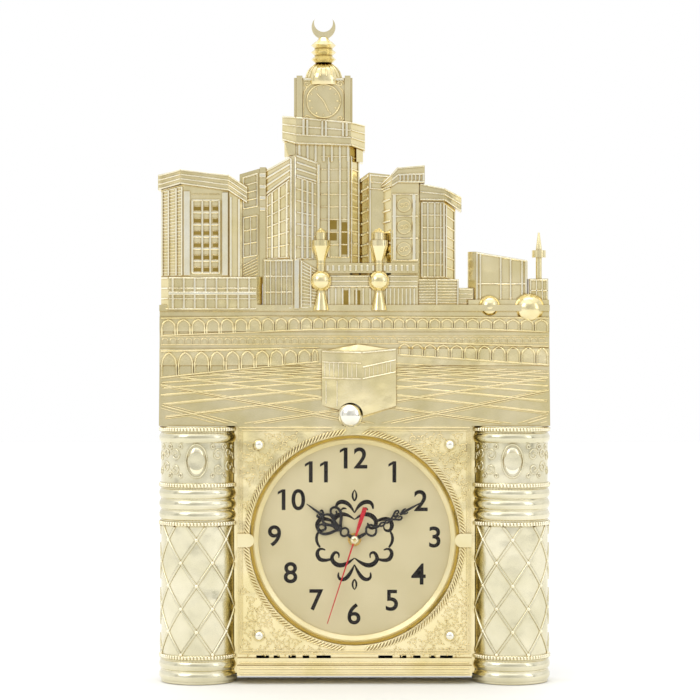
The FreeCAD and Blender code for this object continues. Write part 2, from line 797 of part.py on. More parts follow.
def column(label, side):
    body = doc.addObject("PartDesign::Body", label + "_body")
    plane = [part for part in body.Origin.OriginFeatures if part.Role == "XZ_Plane"][0]
    points = column_profile()
    half = swelling_sketch(label + "_profile", points, body, plane)
    spin = body.newObject("PartDesign::Revolution", label + "_turn")
    spin.Profile = half
    spin.ReferenceAxis = (half, ["V_Axis"])
    spin.Angle = 180
    spin.Reversed = False
    doc.recompute()
    if spin.Shape.BoundBox.YMax > 1:
        spin.Reversed = True
    right = points[1:-1]
    left = [(f"-({across})", up, "") for across, up, swell in reversed(right)]
    for spot, (across, up, swell) in enumerate(reversed(right)):
        if swell:
            left[spot + 1] = (left[spot + 1][0], left[spot + 1][1], swell)
    whole = swelling_sketch(label + "_outline", right + left, body, plane)
    pad = body.newObject("PartDesign::Pad", label + "_pad")
    pad.Profile = whole
    pad.Reversed = True
    bind(pad, "Length", "column_axis - seat")
    body.Tip = pad
    shell = put(body, side, "column_axis", "0")
    inside = pillar(label + "_bore", side, "column_axis", "column_radius - column_wall",
                    ("column_wall", "column_height - column_wall"))
    room = box(label + "_room", (f"{side} - column_radius + column_wall", f"{side} + column_radius - column_wall"),
               ("seat - 1", "column_axis"), ("column_wall", "column_height - column_wall"))
    medal = rod(label + "_medallion", side, "medallion_height", "medallion_half",
                ("column_axis + column_radius - 2", "column_axis + column_radius + medallion_proud"))
    hull = cut(label + "_hull", fuse(label + "_solid", [shell, medal]), [fuse(label + "_hollow", [inside, room])])
    posts = []
    holes = []
    for word in ("low", "high"):
        posts.append(rod(f"{label}_{word}_post", side, f"column_boss_{word}", "boss_radius",
                         ("seat", "column_axis + column_radius - column_wall + 0.5")))
        holes.append(rod(f"{label}_{word}_hole", side, f"column_boss_{word}", "screw_radius",
                         ("seat - 1", "screw_length + 1")))
    return node(label, cut(label + "_finished", fuse(label + "_posts", [hull] + posts), holes))


column("column_left", "-column_side")
column("column_right", "column_side")


# Surround of the dial
def dial_surround():
    front = "surround_front"
    outside = [
        box("surround_block", ("-surround_half", "surround_half"), ("seat", front),
            ("surround_low", "column_height")),
        box("plinth_upper", ("-surround_half", "surround_half"), ("seat", "plinth_depth"),
            ("surround_low", "plinth_high")),
        box("plinth_foot", ("-surround_half", "surround_half"), ("seat", "plinth_foot_depth"),
            ("surround_low", "plinth_step")),
    ]
    inside = [
        box("surround_room", ("wall - surround_half", "surround_half - wall"), ("seat - 1", f"{front} - wall"),
            ("surround_low + wall", "column_height - wall")),
        box("plinth_room", ("wall - surround_half", "surround_half - wall"), ("seat - 1", "plinth_depth - wall"),
            ("surround_low + wall", "plinth_high - wall")),
        rod("surround_opening", "0", "dial_height", "dial_opening", (f"{front} - 2 * wall", f"{front} + 1")),
    ]
    for name in SLOTS:
        for word, low, high in (("left", f"-{name}_start - {name}_length", f"-{name}_start"),
                                ("right", f"{name}_start", f"{name}_start + {name}_length")):
            inside.append(box(f"{name}_{word}", (low, high), (f"{front} - 2 * wall", f"{front} + 1"),
                              ("plinth_high", "slot_high")))
    hull = cut("surround_hull", fuse("surround_outside", outside), inside)
    collar = cut("surround_collar", rod("collar_outside", "0", "dial_height", "dial_opening + collar_thick",
                                        ("collar_back", f"{front} - wall / 2")),
                 [rod("collar_inside", "0", "dial_height", "dial_opening", ("collar_back - 1", f"{front} + 1"))])
    keep = box("collar_keep", ("-surround_half", "surround_half"), ("collar_back - 1", front),
               ("surround_low", "column_height"))
    posts = [common("collar_kept", [collar, keep])]
    holes = []
    for word, height in (("low", "surround_boss_low"), ("high", "surround_boss_high")):
        for hand, sign in (("left", "-"), ("right", "")):
            posts.append(rod(f"surround_{word}_{hand}_post", f"{sign}surround_boss_side", height, "boss_radius",
                             ("seat", f"{front} - wall / 2")))
            holes.append(rod(f"surround_{word}_{hand}_hole", f"{sign}surround_boss_side", height,
                             "screw_radius", ("seat - 1", "screw_length + 1")))
    return cut("surround_finished", fuse("surround_with_posts", [hull] + posts), holes)


node("dial_surround", dial_surround())

studs = []
for word, height in (("low", "dial_height - stud_ring"), ("high", "dial_height + stud_ring")):
    for hand, sign in (("left", "-"), ("right", "")):
        stud = ball(f"stud_{word}_{hand}", f"{sign}stud_ring", "surround_front", height, "stud_radius")
        front = box(f"stud_front_{word}_{hand}", (f"{sign}stud_ring - 6", f"{sign}stud_ring + 6"),
                    ("surround_front", "surround_front + 6"), (f"{height} - 6", f"{height} + 6"))
        studs.append(common(f"stud_cap_{word}_{hand}", [stud, front]))
node("corner_studs", group("studs", studs))

clips = []
for hand, sign in (("left", "-"), ("right", "")):
    low, high = ("-surround_half", "-clip_reach - clip_half") if sign else ("clip_reach + clip_half", "surround_half")
    tongue = box(f"clip_tongue_{hand}", (low, high), ("surround_front", "surround_front + clip_thick"),
                 ("dial_height - clip_half", "dial_height + clip_half"))
    tip = rod(f"clip_tip_{hand}", f"{sign}(clip_reach + clip_half)", "dial_height", "clip_half",
              ("surround_front", "surround_front + clip_thick"))
    clips.append(fuse(f"clip_{hand}", [tongue, tip]))
node("lens_clips", group("clips", clips))

node("dial_plate", turned("dial_plate", [
    ("post_pipe_radius", "dial_front - dial_thick"), ("dial_opening - lens_inset", "dial_front - dial_thick"),
    ("dial_opening - lens_inset", "dial_front"), ("post_pipe_radius", "dial_front")], "0", "dial_height"))
node("dial_bezel", turned("dial_bezel", [
    ("bezel_inner", "dial_front"), ("dial_opening - lens_inset", "dial_front"),
    ("dial_opening - lens_inset", "lens_back"), ("dial_opening - bezel_rim", "lens_back"),
    ("bezel_inner + 3.2", "lens_back - 3"), ("bezel_inner + 1.3", "dial_front + bezel_lip + 1"),
    ("bezel_inner", "dial_front + bezel_lip")], "0", "dial_height"))
node("dial_lens", rod("lens", "0", "dial_height", "dial_opening - lens_inset",
                      ("lens_back", "surround_front")))


# Back cover and what hangs the clock
SCREWS = []
for word in ("low", "high"):
    for sign in ("-", ""):
        SCREWS.append((f"{sign}surround_boss_side", f"surround_boss_{word}"))
        SCREWS.append((f"{sign}column_side", f"column_boss_{word}"))
for sign in ("-", ""):
    SCREWS.append((f"{sign}panel_boss_side", "panel_boss_height"))


def back_cover():
    plate = box("cover_plate", ("-cover_half", "cover_half"), ("0", "cover_thick"), ("cover_low", "cover_high"))
    rim = cut("cover_rim", box("rim_outside", ("-cover_half", "cover_half"), ("0", "seat"),
                               ("cover_low", "cover_high")),
              [box("rim_inside", ("rim_width - cover_half", "cover_half - rim_width"), ("-1", "seat + 1"),
                   ("cover_low + rim_width", "cover_high - rim_width"))])
    pieces = [plate, rim]
    for word, side, rise in (("low", "0", "-dial_post_ring"), ("left", "-dial_post_ring", "0"),
                             ("right", "dial_post_ring", "0"), ("high", "0", "dial_post_ring")):
        pieces.append(rod(f"dial_post_{word}", side, f"dial_height + ({rise})", "dial_post_radius",
                          ("0", "dial_front - dial_thick")))
    for spot, (side, height) in enumerate(SCREWS):
        pieces.append(rod(f"screw_pad_{spot}", side, height, "boss_radius", ("0", "seat")))
    for word, side in (("left", "board_left + board_post"), ("right", "board_right - board_post")):
        for rise, height in (("low", "board_low + board_post"), ("high", "board_high - board_post")):
            pieces.append(rod(f"board_post_{word}_{rise}", side, height, "board_post", ("0", "board_depth")))
    for word, side in (("left", "button_side - button_post_side"), ("right", "button_side + button_post_side")):
        pieces.append(rod(f"switch_post_{word}", side, "button_height", "board_post",
                          ("0", "board_depth - button_board_drop - button_board_thick")))
    for turn in range(3):
        angle = 90 + 120 * turn
        pieces.append(rod(f"speaker_post_{turn}", f"speaker_side + (speaker_radius - 1.5) * cos({angle})",
                          f"speaker_height + (speaker_radius - 1.5) * sin({angle})", "speaker_post",
                          ("0", "speaker_back")))
    # walls of the battery bay
    bay = cut("bay_walls", box("bay_outside", ("bay_side - bay_half_width - wall", "bay_side + bay_half_width + wall"),
                               ("0", "bay_depth + wall"),
                               ("bay_height - bay_half_height - wall", "bay_height + bay_half_height + wall")),
              [box("bay_inside", ("bay_side - bay_half_width", "bay_side + bay_half_width"), ("-1", "bay_depth"),
                   ("bay_height - bay_half_height", "bay_height + bay_half_height"))])
    holes = [box("bay_mouth", ("bay_side - bay_half_width", "bay_side + bay_half_width"), ("-1", "cover_thick + 1"),
                 ("bay_height - bay_half_height", "bay_height + bay_half_height")),
             box("door_track", ("bay_side - bay_half_width - 1", "bay_side + bay_half_width + 1"),
                 ("-1", "door_thick + gap"),
                 ("bay_height - bay_half_height - door_travel - gap", "bay_height + bay_half_height + gap")),
             box("movement_hole", ("-movement_window / 2", "movement_window / 2"), ("-1", "seat + 1"),
                 ("dial_height - movement_window / 2", "dial_height + movement_window / 2")),
             box("hanger_hole", ("-hanger_window_width / 2", "hanger_window_width / 2"), ("-1", "seat + 1"),
                 ("hanger_height + hanger_window_over - hanger_window_height", "hanger_height + hanger_window_over")),
             rod("volume_hole", "volume_side", "volume_height", "volume_radius + gap", ("-1", "seat + 1")),
             box("switch_hole", ("switch_side - 2 - gap", "switch_side + switch_travel + 2 + gap"),
                 ("-1", "seat + 1"), ("volume_height - 1.5 - gap", "volume_height + 1.5 + gap"))]
    for spot in range(3):
        holes.append(rod(f"rear_button_hole_{spot}", f"rear_button_side + {spot} * button_pitch",
                         "rear_button_height", "rear_button_radius + fit", ("-1", "seat + 1")))
    for spot, (side, height) in enumerate(SCREWS):
        holes.append(rod(f"screw_hole_{spot}", side, height, "screw_radius", ("-1", "seat + 1")))
        holes.append(rod(f"screw_well_{spot}", side, height, "screw_head_radius",
                         ("-1", "screw_head_thick + 0.2")))
    return cut("cover_finished", fuse("cover_solid", pieces + [bay]), holes)


node("back_cover", back_cover())

screws = []
for spot, (side, height) in enumerate(SCREWS):
    head = rod(f"screw_head_{spot}", side, height, "screw_head_radius", ("0.2", "screw_head_thick + 0.2"))
    shank = rod(f"screw_shank_{spot}", side, height, "screw_radius", ("screw_head_thick", "screw_length"))
    slot = box(f"screw_slot_{spot}", (f"{side} - 2.4", f"{side} + 2.4"), ("0", "0.9"),
               (f"{height} - 0.4", f"{height} + 0.4"))
    screws.append(cut(f"screw_{spot}", fuse(f"screw_body_{spot}", [head, shank]), [slot]))
node("case_screws", group("screws", screws))


def hanger():
    plate = box("hanger_blank", ("-hanger_window_width", "hanger_window_width"), ("cover_thick", "seat"),
                ("hanger_height - hanger_window_height", "hanger_height + hanger_over"))
    through = ("0", "seat + 1")
    slot = box("hanger_slot", ("-hanger_shank", "hanger_shank"), through,
               ("hanger_height - hanger_head_drop", "hanger_height - hanger_shank"))
    end = rod("hanger_end", "0", "hanger_height - hanger_shank", "hanger_shank", through)
    head = rod("hanger_head", "0", "hanger_height - hanger_head_drop", "hanger_head", through)
    holes = [slot, end, head]
    for word, sign in (("left", "-"), ("right", "")):
        holes.append(rod(f"rivet_hole_{word}", f"{sign}rivet_side", "hanger_height - rivet_drop", "rivet_radius",
                         through))
    return cut("hanger_cut", plate, holes)


node("hanger_plate", hanger())
rivets = []
for word, sign in (("left", "-"), ("right", "")):
    spot = (f"{sign}rivet_side", "hanger_height - rivet_drop")
    shank = rod(f"rivet_shank_{word}", *spot, "rivet_radius", ("cover_thick", "seat"))
    head = rod(f"rivet_head_{word}", *spot, "rivet_head_radius", ("seat", "seat + rivet_head_thick"))
    rivets.append(fuse(f"rivet_{word}", [shank, head]))
node("hanger_rivets", group("rivets", rivets))


# Push button over the dial
def azan_button():
    shank = rod("button_cap", "button_side", "button_height", "button_shank", ("button_back", "button_rim + 1"))
    sphere = ball("button_ball", "button_side", "button_rim + button_rise - button_ball_radius", "button_height",
                  "button_ball_radius")
    keep = rod("button_crown_keep", "button_side", "button_height", "button_radius + 1",
               ("button_rim", "button_rim + 2 * button_rise"))
    flange = rod("button_lip", "button_side", "button_height", "button_flange",
                 ("button_back", "button_back + button_flange_thick"))
    stem = rod("button_stem", "button_side", "button_height", "button_stem_radius",
               ("button_stem_back", "button_back + 1"))
    return fuse("button_whole", [shank, common("button_crown", [sphere, keep]), flange, stem])


def coil_spring():
    """An open spring of round wire about the stem of the button, on arcs of a quarter turn."""
    low = size("board_depth") - size("button_board_drop") + size("switch_body_thick") + size("gap")
    high = size("button_back") - size("spring_wire") - size("fit")
    turns = int(size("spring_turns"))
    pitch = (high - low) / turns

    def spot(turn):
        angle = 2 * math.pi * turn
        return Vector(size("spring_radius") * math.cos(angle), size("spring_radius") * math.sin(angle), pitch * turn)

    arcs = [Part.Arc(spot(i / 4), spot((i + 0.5) / 4), spot((i + 1) / 4)).toShape() for i in range(4 * turns)]
    way = arcs[0].tangentAt(arcs[0].FirstParameter)
    section = Part.Wire(Part.makeCircle(size("spring_wire"), spot(0), way))
    thing = doc.addObject("Part::Feature", "spring")
    thing.Shape = Part.Wire(arcs).makePipeShell([section], True, False)
    return put(thing, "button_side", "board_depth - button_board_drop + switch_body_thick + gap", "button_height",
               FORWARD)


node("azan_button", azan_button())
node("button_spring", coil_spring())
board_face = "board_depth - button_board_drop"
board = box("switch_board", ("button_side - button_board_half_width", "button_side + button_board_half_width"),
            (f"{board_face} - button_board_thick", board_face),
            ("button_height - button_board_half_height", "button_height + button_board_half_height"))
node("button_board", board)
switch = fuse("switch_whole", [
    box("switch_block", ("button_side - switch_body_half", "button_side + switch_body_half"),
        (board_face, f"{board_face} + switch_body_thick"),
        ("button_height - switch_body_half", "button_height + switch_body_half")),
    rod("switch_plunger", "button_side", "button_height", "switch_plunger_radius",
        (board_face, "button_stem_back - button_travel - gap"))])
node("button_switch", switch)


# Clock movement: two shells, cell, coil, stator, circuit and train
CENTRE = ("0", "dial_height")
MIDDLE = ("-(second_teeth + intermediate_leaves) * second_module / 2", "dial_height")
ROTOR = (f"{MIDDLE[0]} - 0.6 * (intermediate_teeth + rotor_leaves) * rotor_module / 2",
         "dial_height - 0.8 * (intermediate_teeth + rotor_leaves) * rotor_module / 2")
THIRD = ("centre_distance", "dial_height")
MOTION = ("0", "dial_height - centre_distance")
FRONT = "dial_front - dial_thick"


def movement_back_case():
    outside = box("back_case_block", ("-case_half", "case_half"), ("case_back", "case_split"),
                  ("dial_height - case_half", "dial_height + case_half"))
    room = box("back_case_room", ("case_thick - case_half", "case_half - case_thick"),
               ("case_back + case_thick", "case_split + 1"),
               ("dial_height - case_half + case_thick", "dial_height + cell_height - cell_radius - 2"))
    bay = box("cell_room", ("-cell_length / 2 - 1.6", "cell_length / 2 + 1.6"), ("case_back - 1", "case_split + 1"),
              ("dial_height + cell_height - cell_radius - gap", "dial_height + cell_height + cell_radius + gap"))
    shell = cut("back_case_shell", outside, [room, bay])
    posts = []
    holes = []
    for word, spot in (("centre", CENTRE), ("middle", MIDDLE), ("rotor", ROTOR), ("third", THIRD)):
        posts.append(rod(f"{word}_back_post", spot[0], spot[1], "bush_radius", ("case_back", "case_back + 2.2")))
        holes.append(rod(f"{word}_back_bush", spot[0], spot[1], "shaft_radius + fit",
                         ("case_back + 0.6", "case_back + 4")))
    posts.append(rod("knob_back_post", MOTION[0], MOTION[1], "2", ("case_back", "case_back + 2.2")))
    holes.append(rod("knob_back_bush", MOTION[0], MOTION[1], "motion_stub_radius + fit", ("case_back - 1", "case_back + 4")))
    return cut("back_case", fuse("back_case_posts", [shell] + posts), holes)


def movement_front_case():
    outside = box("front_case_block", ("-case_half", "case_half"), ("case_split", FRONT),
                  ("dial_height - case_half", "dial_height + case_half"))
    room = box("front_case_room", ("case_thick - case_half", "case_half - case_thick"),
               ("case_split - 1", f"{FRONT} - case_thick"),
               ("dial_height - case_half + case_thick", "dial_height + case_half - case_thick"))
    pipe = rod("front_pipe", "0", "dial_height", "post_pipe_radius", (FRONT, "dial_front + 1.6"))
    shell = cut("front_case_shell", fuse("front_case_outside", [outside, pipe]), [room])
    posts = []
    holes = [rod("front_pipe_bore", "0", "dial_height", "hour_pipe_radius + fit", (f"{FRONT} - 2", "dial_front + 3"))]
    for word, spot in (("middle", MIDDLE), ("rotor", ROTOR), ("third", THIRD), ("motion", MOTION)):
        posts.append(rod(f"{word}_front_post", spot[0], spot[1], "bush_radius",
                         (f"{FRONT} - case_thick - 0.6", FRONT)))
        holes.append(rod(f"{word}_front_bush", spot[0], spot[1], "shaft_radius + fit",
                         (f"{FRONT} - case_thick - 2", f"{FRONT} - 0.4")))
    return cut("front_case", fuse("front_case_posts", [shell] + posts), holes)


node("movement_back_case", movement_back_case())
node("movement_front_case", movement_front_case())

nut = cut("nut_cut", rod("nut_blank", "0", "dial_height", "nut_radius", ("dial_front", "dial_front + nut_thick")),
          [rod("nut_bore", "0", "dial_height", "post_pipe_radius", ("dial_front - 1", "dial_front + 3"))])
node("movement_nut", nut)


def aa_cell(name, side, depth, low, upright=True):
    if upright:
        can = pillar(name + "_can", side, depth, "cell_radius", (low, f"{low} + cell_length - nub_rise"))
        nub = pillar(name + "_nub", side, depth, "nub_radius", (f"{low} + cell_length / 2", f"{low} + cell_length"))
    else:
        can = bar(name + "_can", (side, f"{side} + cell_length - nub_rise"), depth, low, "cell_radius")
        nub = bar(name + "_nub", (f"{side} + cell_length / 2", f"{side} + cell_length"), depth, low, "nub_radius")
    return fuse(name, [can, nub])


node("movement_cell", aa_cell("movement_cell_body", "-cell_length / 2", "cell_depth - 0.5",
                              "dial_height + cell_height", False))
tabs = []
for word, low, high in (("left", "-cell_length / 2 - contact_thick", "-cell_length / 2"),
                        ("right", "cell_length / 2", "cell_length / 2 + contact_thick")):
    tabs.append(box(f"cell_tab_{word}", (low, high), ("case_back + 2", "case_split - 1"),
                    ("dial_height + cell_height - 5", "dial_height + cell_height + 5")))
node("movement_contacts", group("cell_tabs", tabs))

# the stator is one plate: a leg at each end of the coil, a bridge between them and a yoke round the rotor
node("movement_coil", bar("coil_winding", ("coil_left", "coil_right"), "stator_depth + stator_thick / 2",
                          "dial_height - coil_drop", "coil_radius"))
flat = ("stator_depth", "stator_depth + stator_thick")
legs = [
    box("stator_left", ("coil_left - stator_leg", "coil_left"), flat,
        ("dial_height - coil_drop - coil_radius", "dial_height - yoke_drop")),
    box("stator_right", ("coil_right", "coil_right + stator_leg - 1"), flat,
        ("dial_height - coil_drop - coil_radius", "dial_height - bridge_drop")),
    box("stator_bridge", ("coil_left - 0.5", "coil_right + stator_leg - 1"), flat,
        ("dial_height - bridge_drop - bridge_wide", "dial_height - bridge_drop")),
    box("stator_yoke", ("coil_left - 1", "coil_left + yoke_reach"), flat,
        ("dial_height - bridge_drop - bridge_wide", "dial_height - yoke_drop")),
]
bore = rod("stator_bore", ROTOR[0], ROTOR[1], "rotor_magnet_radius + gap",
           ("stator_depth - 1", "stator_depth + stator_thick + 1"))
relief_cut = rod("stator_relief", MIDDLE[0], MIDDLE[1], "intermediate_clear",
                 ("stator_depth - 1", "stator_depth + stator_thick + 1"))
node("movement_stator", cut("stator", fuse("stator_plate", legs), [bore, relief_cut]))
node("movement_circuit", fuse("circuit", [
    box("circuit_board", ("11", "27"), ("11", "12"), ("dial_height - 27", "dial_height - 15")),
    box("circuit_chip", ("14", "20"), ("12", "13"), ("dial_height - 24", "dial_height - 19")),
    bar("circuit_crystal", ("17", "25"), "13", "dial_height - 17", "1")]))


def wheel(name, teeth, module, phase, near, thick, spot):
    return toothed_rim(name, size(teeth), module, phase, near, thick, spot[0], spot[1])


thick = size("wheel_thick")
fine = size("rotor_module")
second_module = size("second_module")
third_module = 2 * size("centre_distance") / (size("second_leaves") + size("third_teeth"))
centre_module = 2 * size("centre_distance") / (size("third_leaves") + size("centre_teeth"))
motion_module = 2 * size("centre_distance") / (size("cannon_leaves") + size("motion_teeth"))
hour_module = 2 * size("centre_distance") / (size("motion_leaves") + size("hour_teeth"))
rotor_way = math.degrees(math.atan2(-0.8, -0.6))

rotor = fuse("rotor_whole", [
    rod("rotor_shaft", ROTOR[0], ROTOR[1], "shaft_radius", ("case_back + 0.8", f"{FRONT} - 0.6")),
    rod("rotor_magnet", ROTOR[0], ROTOR[1], "rotor_magnet_radius",
        ("stator_depth - 1", "stator_depth - 1 + rotor_magnet_thick")),
    wheel("rotor_pinion", "rotor_leaves", fine, rotor_way + 180 + 180 / size("rotor_leaves"),
          "layer_one - 0.3", thick + 0.6, ROTOR)])
node("rotor", rotor)
intermediate = fuse("intermediate_whole", [
    rod("intermediate_shaft", MIDDLE[0], MIDDLE[1], "shaft_radius", ("case_back + 0.8", f"{FRONT} - 0.6")),
    wheel("intermediate_rim", "intermediate_teeth", fine, rotor_way, "layer_one", thick, MIDDLE),
    wheel("intermediate_pinion", "intermediate_leaves", second_module, 0, "layer_one + 0.7",
          size("layer_two") - size("layer_one") + thick - 0.5, MIDDLE)])
node("intermediate_wheel", intermediate)
second = fuse("second_whole", [
    rod("second_shaft", "0", "dial_height", "shaft_radius", ("case_back + 0.8", "dial_front + 5")),
    wheel("second_rim", "second_teeth", second_module, 180 + 180 / size("second_teeth"),
          "layer_two", thick, CENTRE),
    wheel("second_pinion", "second_leaves", third_module, 0, "layer_two + wheel_thick / 2",
          size("layer_three") - size("layer_two") + thick / 2 + 0.2, CENTRE)])
node("second_wheel", second)
third = fuse("third_whole", [
    rod("third_shaft", THIRD[0], THIRD[1], "shaft_radius", ("case_back + 0.8", f"{FRONT} - 0.6")),
    wheel("third_rim", "third_teeth", third_module, 180 + 180 / size("third_teeth"), "layer_three", thick, THIRD),
    wheel("third_pinion", "third_leaves", centre_module, 180 + 180 / size("third_leaves"),
          "layer_three + wheel_thick / 2", size("layer_four") - size("layer_three") + thick / 2 + 0.2, THIRD)])
node("third_wheel", third)
centre = cut("centre_whole", wheel("centre_rim", "centre_teeth", centre_module, 0, "layer_four", thick, CENTRE),
             [rod("centre_bore", "0", "dial_height", "centre_bore_radius", ("layer_four - 1", "layer_four + 3"))])
node("centre_wheel", centre)
cannon = cut("cannon_whole", fuse("cannon_outside", [
    rod("cannon_pipe", "0", "dial_height", "minute_pipe_radius", ("layer_five - 0.5", "dial_front + 3.4")),
    wheel("cannon_teeth_rim", "cannon_leaves", motion_module, 270, "layer_five - 0.2", thick + 0.4, CENTRE)]),
    [rod("cannon_bore", "0", "dial_height", "shaft_radius + fit", ("layer_five - 2", "dial_front + 5"))])
node("minute_pipe", cannon)
motion = fuse("motion_whole", [
    rod("motion_shaft", MOTION[0], MOTION[1], "shaft_radius", ("case_back", f"{FRONT} - 0.6")),
    rod("motion_stub", MOTION[0], MOTION[1], "motion_stub_radius", ("case_back - 1.2", "case_back + 3")),
    wheel("motion_rim", "motion_teeth", motion_module, 90 + 180 / size("motion_teeth"), "layer_five", thick,
          MOTION),
    wheel("motion_pinion", "motion_leaves", hour_module, 90 + 180 / size("motion_leaves"),
          "layer_five + wheel_thick / 2", size("layer_six") - size("layer_five") + thick / 2 + 0.2, MOTION)])
node("motion_wheel", motion)
hour = cut("hour_whole", fuse("hour_outside", [
    rod("hour_pipe", "0", "dial_height", "hour_pipe_radius", ("layer_six - 0.2", "dial_front + 2.2")),
    wheel("hour_rim", "hour_teeth", hour_module, 270, "layer_six", thick, CENTRE)]),
    [rod("hour_bore", "0", "dial_height", "minute_pipe_radius + fit", ("layer_six - 2", "dial_front + 5"))])
node("hour_wheel", hour)
knob = cut("knob_whole", rod("knob_disc", MOTION[0], MOTION[1], "knob_radius", ("case_back - 3.4", "case_back - gap")),
           [rod("knob_bore", MOTION[0], MOTION[1], "motion_stub_radius", ("case_back - 1.2", "case_back + 1"))])
node("set_knob", knob)


# Hands, each drawn upright and then turned to its time
def hand(label, points, depths, bore_radius, angle):
    blade = sheet_piece(label, points, depths, [("0", "0", bore_radius)])
    rises.pop(blade.Name)
    turn = Rotation(Vector(0, 1, 0), size(angle))
    put(blade, "0", depths[0], "dial_height", turn)
    return node(label, blade)


def mirrored(half):
    """The right half of an outline, from foot to tip, made whole."""
    return half + [(f"-({side})", height) for side, height in reversed(half) if side != "0"]


hand("hour_hand", mirrored([
    ("4.2", "-2.2"), ("4.2", "2.2"), ("2", "5"), ("1.2", "hour_length * 0.3"), ("3.8", "hour_length * 0.4"),
    ("5.2", "hour_length * 0.5"), ("4.4", "hour_length * 0.6"), ("1.6", "hour_length * 0.7"),
    ("2.6", "hour_length * 0.77"), ("0.9", "hour_length * 0.86"), ("0", "hour_length")]),
    ("dial_front + 1.7", "dial_front + 2.2"), "hour_pipe_radius + fit", "hour_angle")
hand("minute_hand", mirrored([
    ("3.4", "-2.2"), ("3.4", "2.2"), ("1.6", "5"), ("1", "minute_length * 0.35"), ("2.8", "minute_length * 0.43"),
    ("3.9", "minute_length * 0.52"), ("3", "minute_length * 0.61"), ("1.2", "minute_length * 0.7"),
    ("2", "minute_length * 0.76"), ("0.7", "minute_length * 0.84"), ("0", "minute_length")]),
    ("dial_front + 2.8", "dial_front + 3.3"), "minute_pipe_radius", "minute_angle")
hand("second_hand", [
    ("-tail_half", "-second_tail"), ("tail_half", "-second_tail"), ("tail_half * 0.8", "-second_tail * 0.45"),
    ("second_half", "-3"), ("second_half * 2", "0"), ("second_half", "3"), ("second_half * 0.5", "second_length"),
    ("-second_half * 0.5", "second_length"), ("-second_half", "3"), ("-second_half * 2", "0"),
    ("-second_half", "-3"), ("-tail_half * 0.8", "-second_tail * 0.45")],
    ("dial_front + 4", "dial_front + 4.4"), "shaft_radius", "second_angle")
cap = common("hub_cap_whole", [
    ball("hub_ball", "0", "dial_front + 3", "dial_height", "hub_radius"),
    rod("hub_keep", "0", "dial_height", "hub_radius", ("dial_front + 4.4", "dial_front + 9"))])
hub = cut("hub_bored", cap, [rod("hub_bore", "0", "dial_height", "shaft_radius", ("dial_front + 3", "dial_front + 5"))])
node("hub_cap", hub)


# Sound unit
node("sound_board", box("sound_plate", ("board_left", "board_right"),
                        ("board_depth", "board_depth + board_thick"), ("board_low", "board_high")))
top = "board_depth + board_thick"
parts = [box("sound_chip", ("board_left + 22", "board_left + 36"), (top, f"{top} + 2"),
             ("board_low + 8", "board_low + 20")),
         box("memory_chip", ("board_left + 42", "board_left + 50"), (top, f"{top} + 1.6"),
             ("board_low + 10", "board_low + 15"))]
for spot in range(3):
    parts.append(rod(f"capacitor_{spot}", f"board_left + 24 + {spot} * 9", "board_low + 29", "3",
                     (top, f"{top} + 6.5")))
node("board_parts", group("board_components", parts))
node("volume_control", box("volume_body", ("volume_side - 5", "volume_side + 5"), ("8.2", "board_depth"),
                           ("volume_height - 5", "volume_height + 5")))
node("volume_knob", fuse("volume_whole", [
    rod("volume_disc", "volume_side", "volume_height", "volume_radius", ("0.8", "5.5")),
    rod("volume_stem", "volume_side", "volume_height", "1.5", ("5", "7.8"))]))
node("power_switch", box("power_body", ("switch_side - 5", "switch_side + 9"), ("7", "board_depth"),
                         ("volume_height - 3.5", "volume_height + 3.5")))
node("power_slider", box("power_nub", ("switch_side - 2", "switch_side + 2"), ("0.8", "7 - gap"),
                         ("volume_height - 1.5", "volume_height + 1.5")))
tacts = []
for spot in range(3):
    side = f"rear_button_side + {spot} * button_pitch"
    tacts.append(box(f"tact_{spot}", (f"{side} - 3", f"{side} + 3"), ("8", "board_depth"),
                     ("rear_button_height - 3", "rear_button_height + 3")))
    node(f"rear_button_{spot + 1}", rod(f"rear_button_{spot}", side, "rear_button_height", "rear_button_radius",
                                        ("0.9", "8 - rear_button_travel - gap")))
node("rear_switches", group("tacts", tacts))

node("speaker_magnet", rod("magnet", "speaker_side", "speaker_height", "magnet_radius",
                           ("cover_thick", "9")))
node("speaker_frame", turned("speaker_frame", [
    ("3", "9"), ("magnet_radius + 1", "9"), ("speaker_radius - 3.5", "speaker_back"),
    ("speaker_radius", "speaker_back"), ("speaker_radius", "speaker_back + 1.4"),
    ("speaker_radius - 4.3", "speaker_back + 1.4"), ("magnet_radius", "10.2"), ("3", "10.2")],
    "speaker_side", "speaker_height"))
node("speaker_cone", turned("speaker_cone", [
    ("0", "12"), ("5", "10.8"), ("speaker_radius - 6.6", "speaker_back + 1.4"),
    ("speaker_radius - 1", "speaker_back + 1.4"), ("speaker_radius - 1", "speaker_back + 1.9"),
    ("speaker_radius - 7", "speaker_back + 1.9"), ("5", "11.3"), ("0", "12.5")],
    "speaker_side", "speaker_height"))

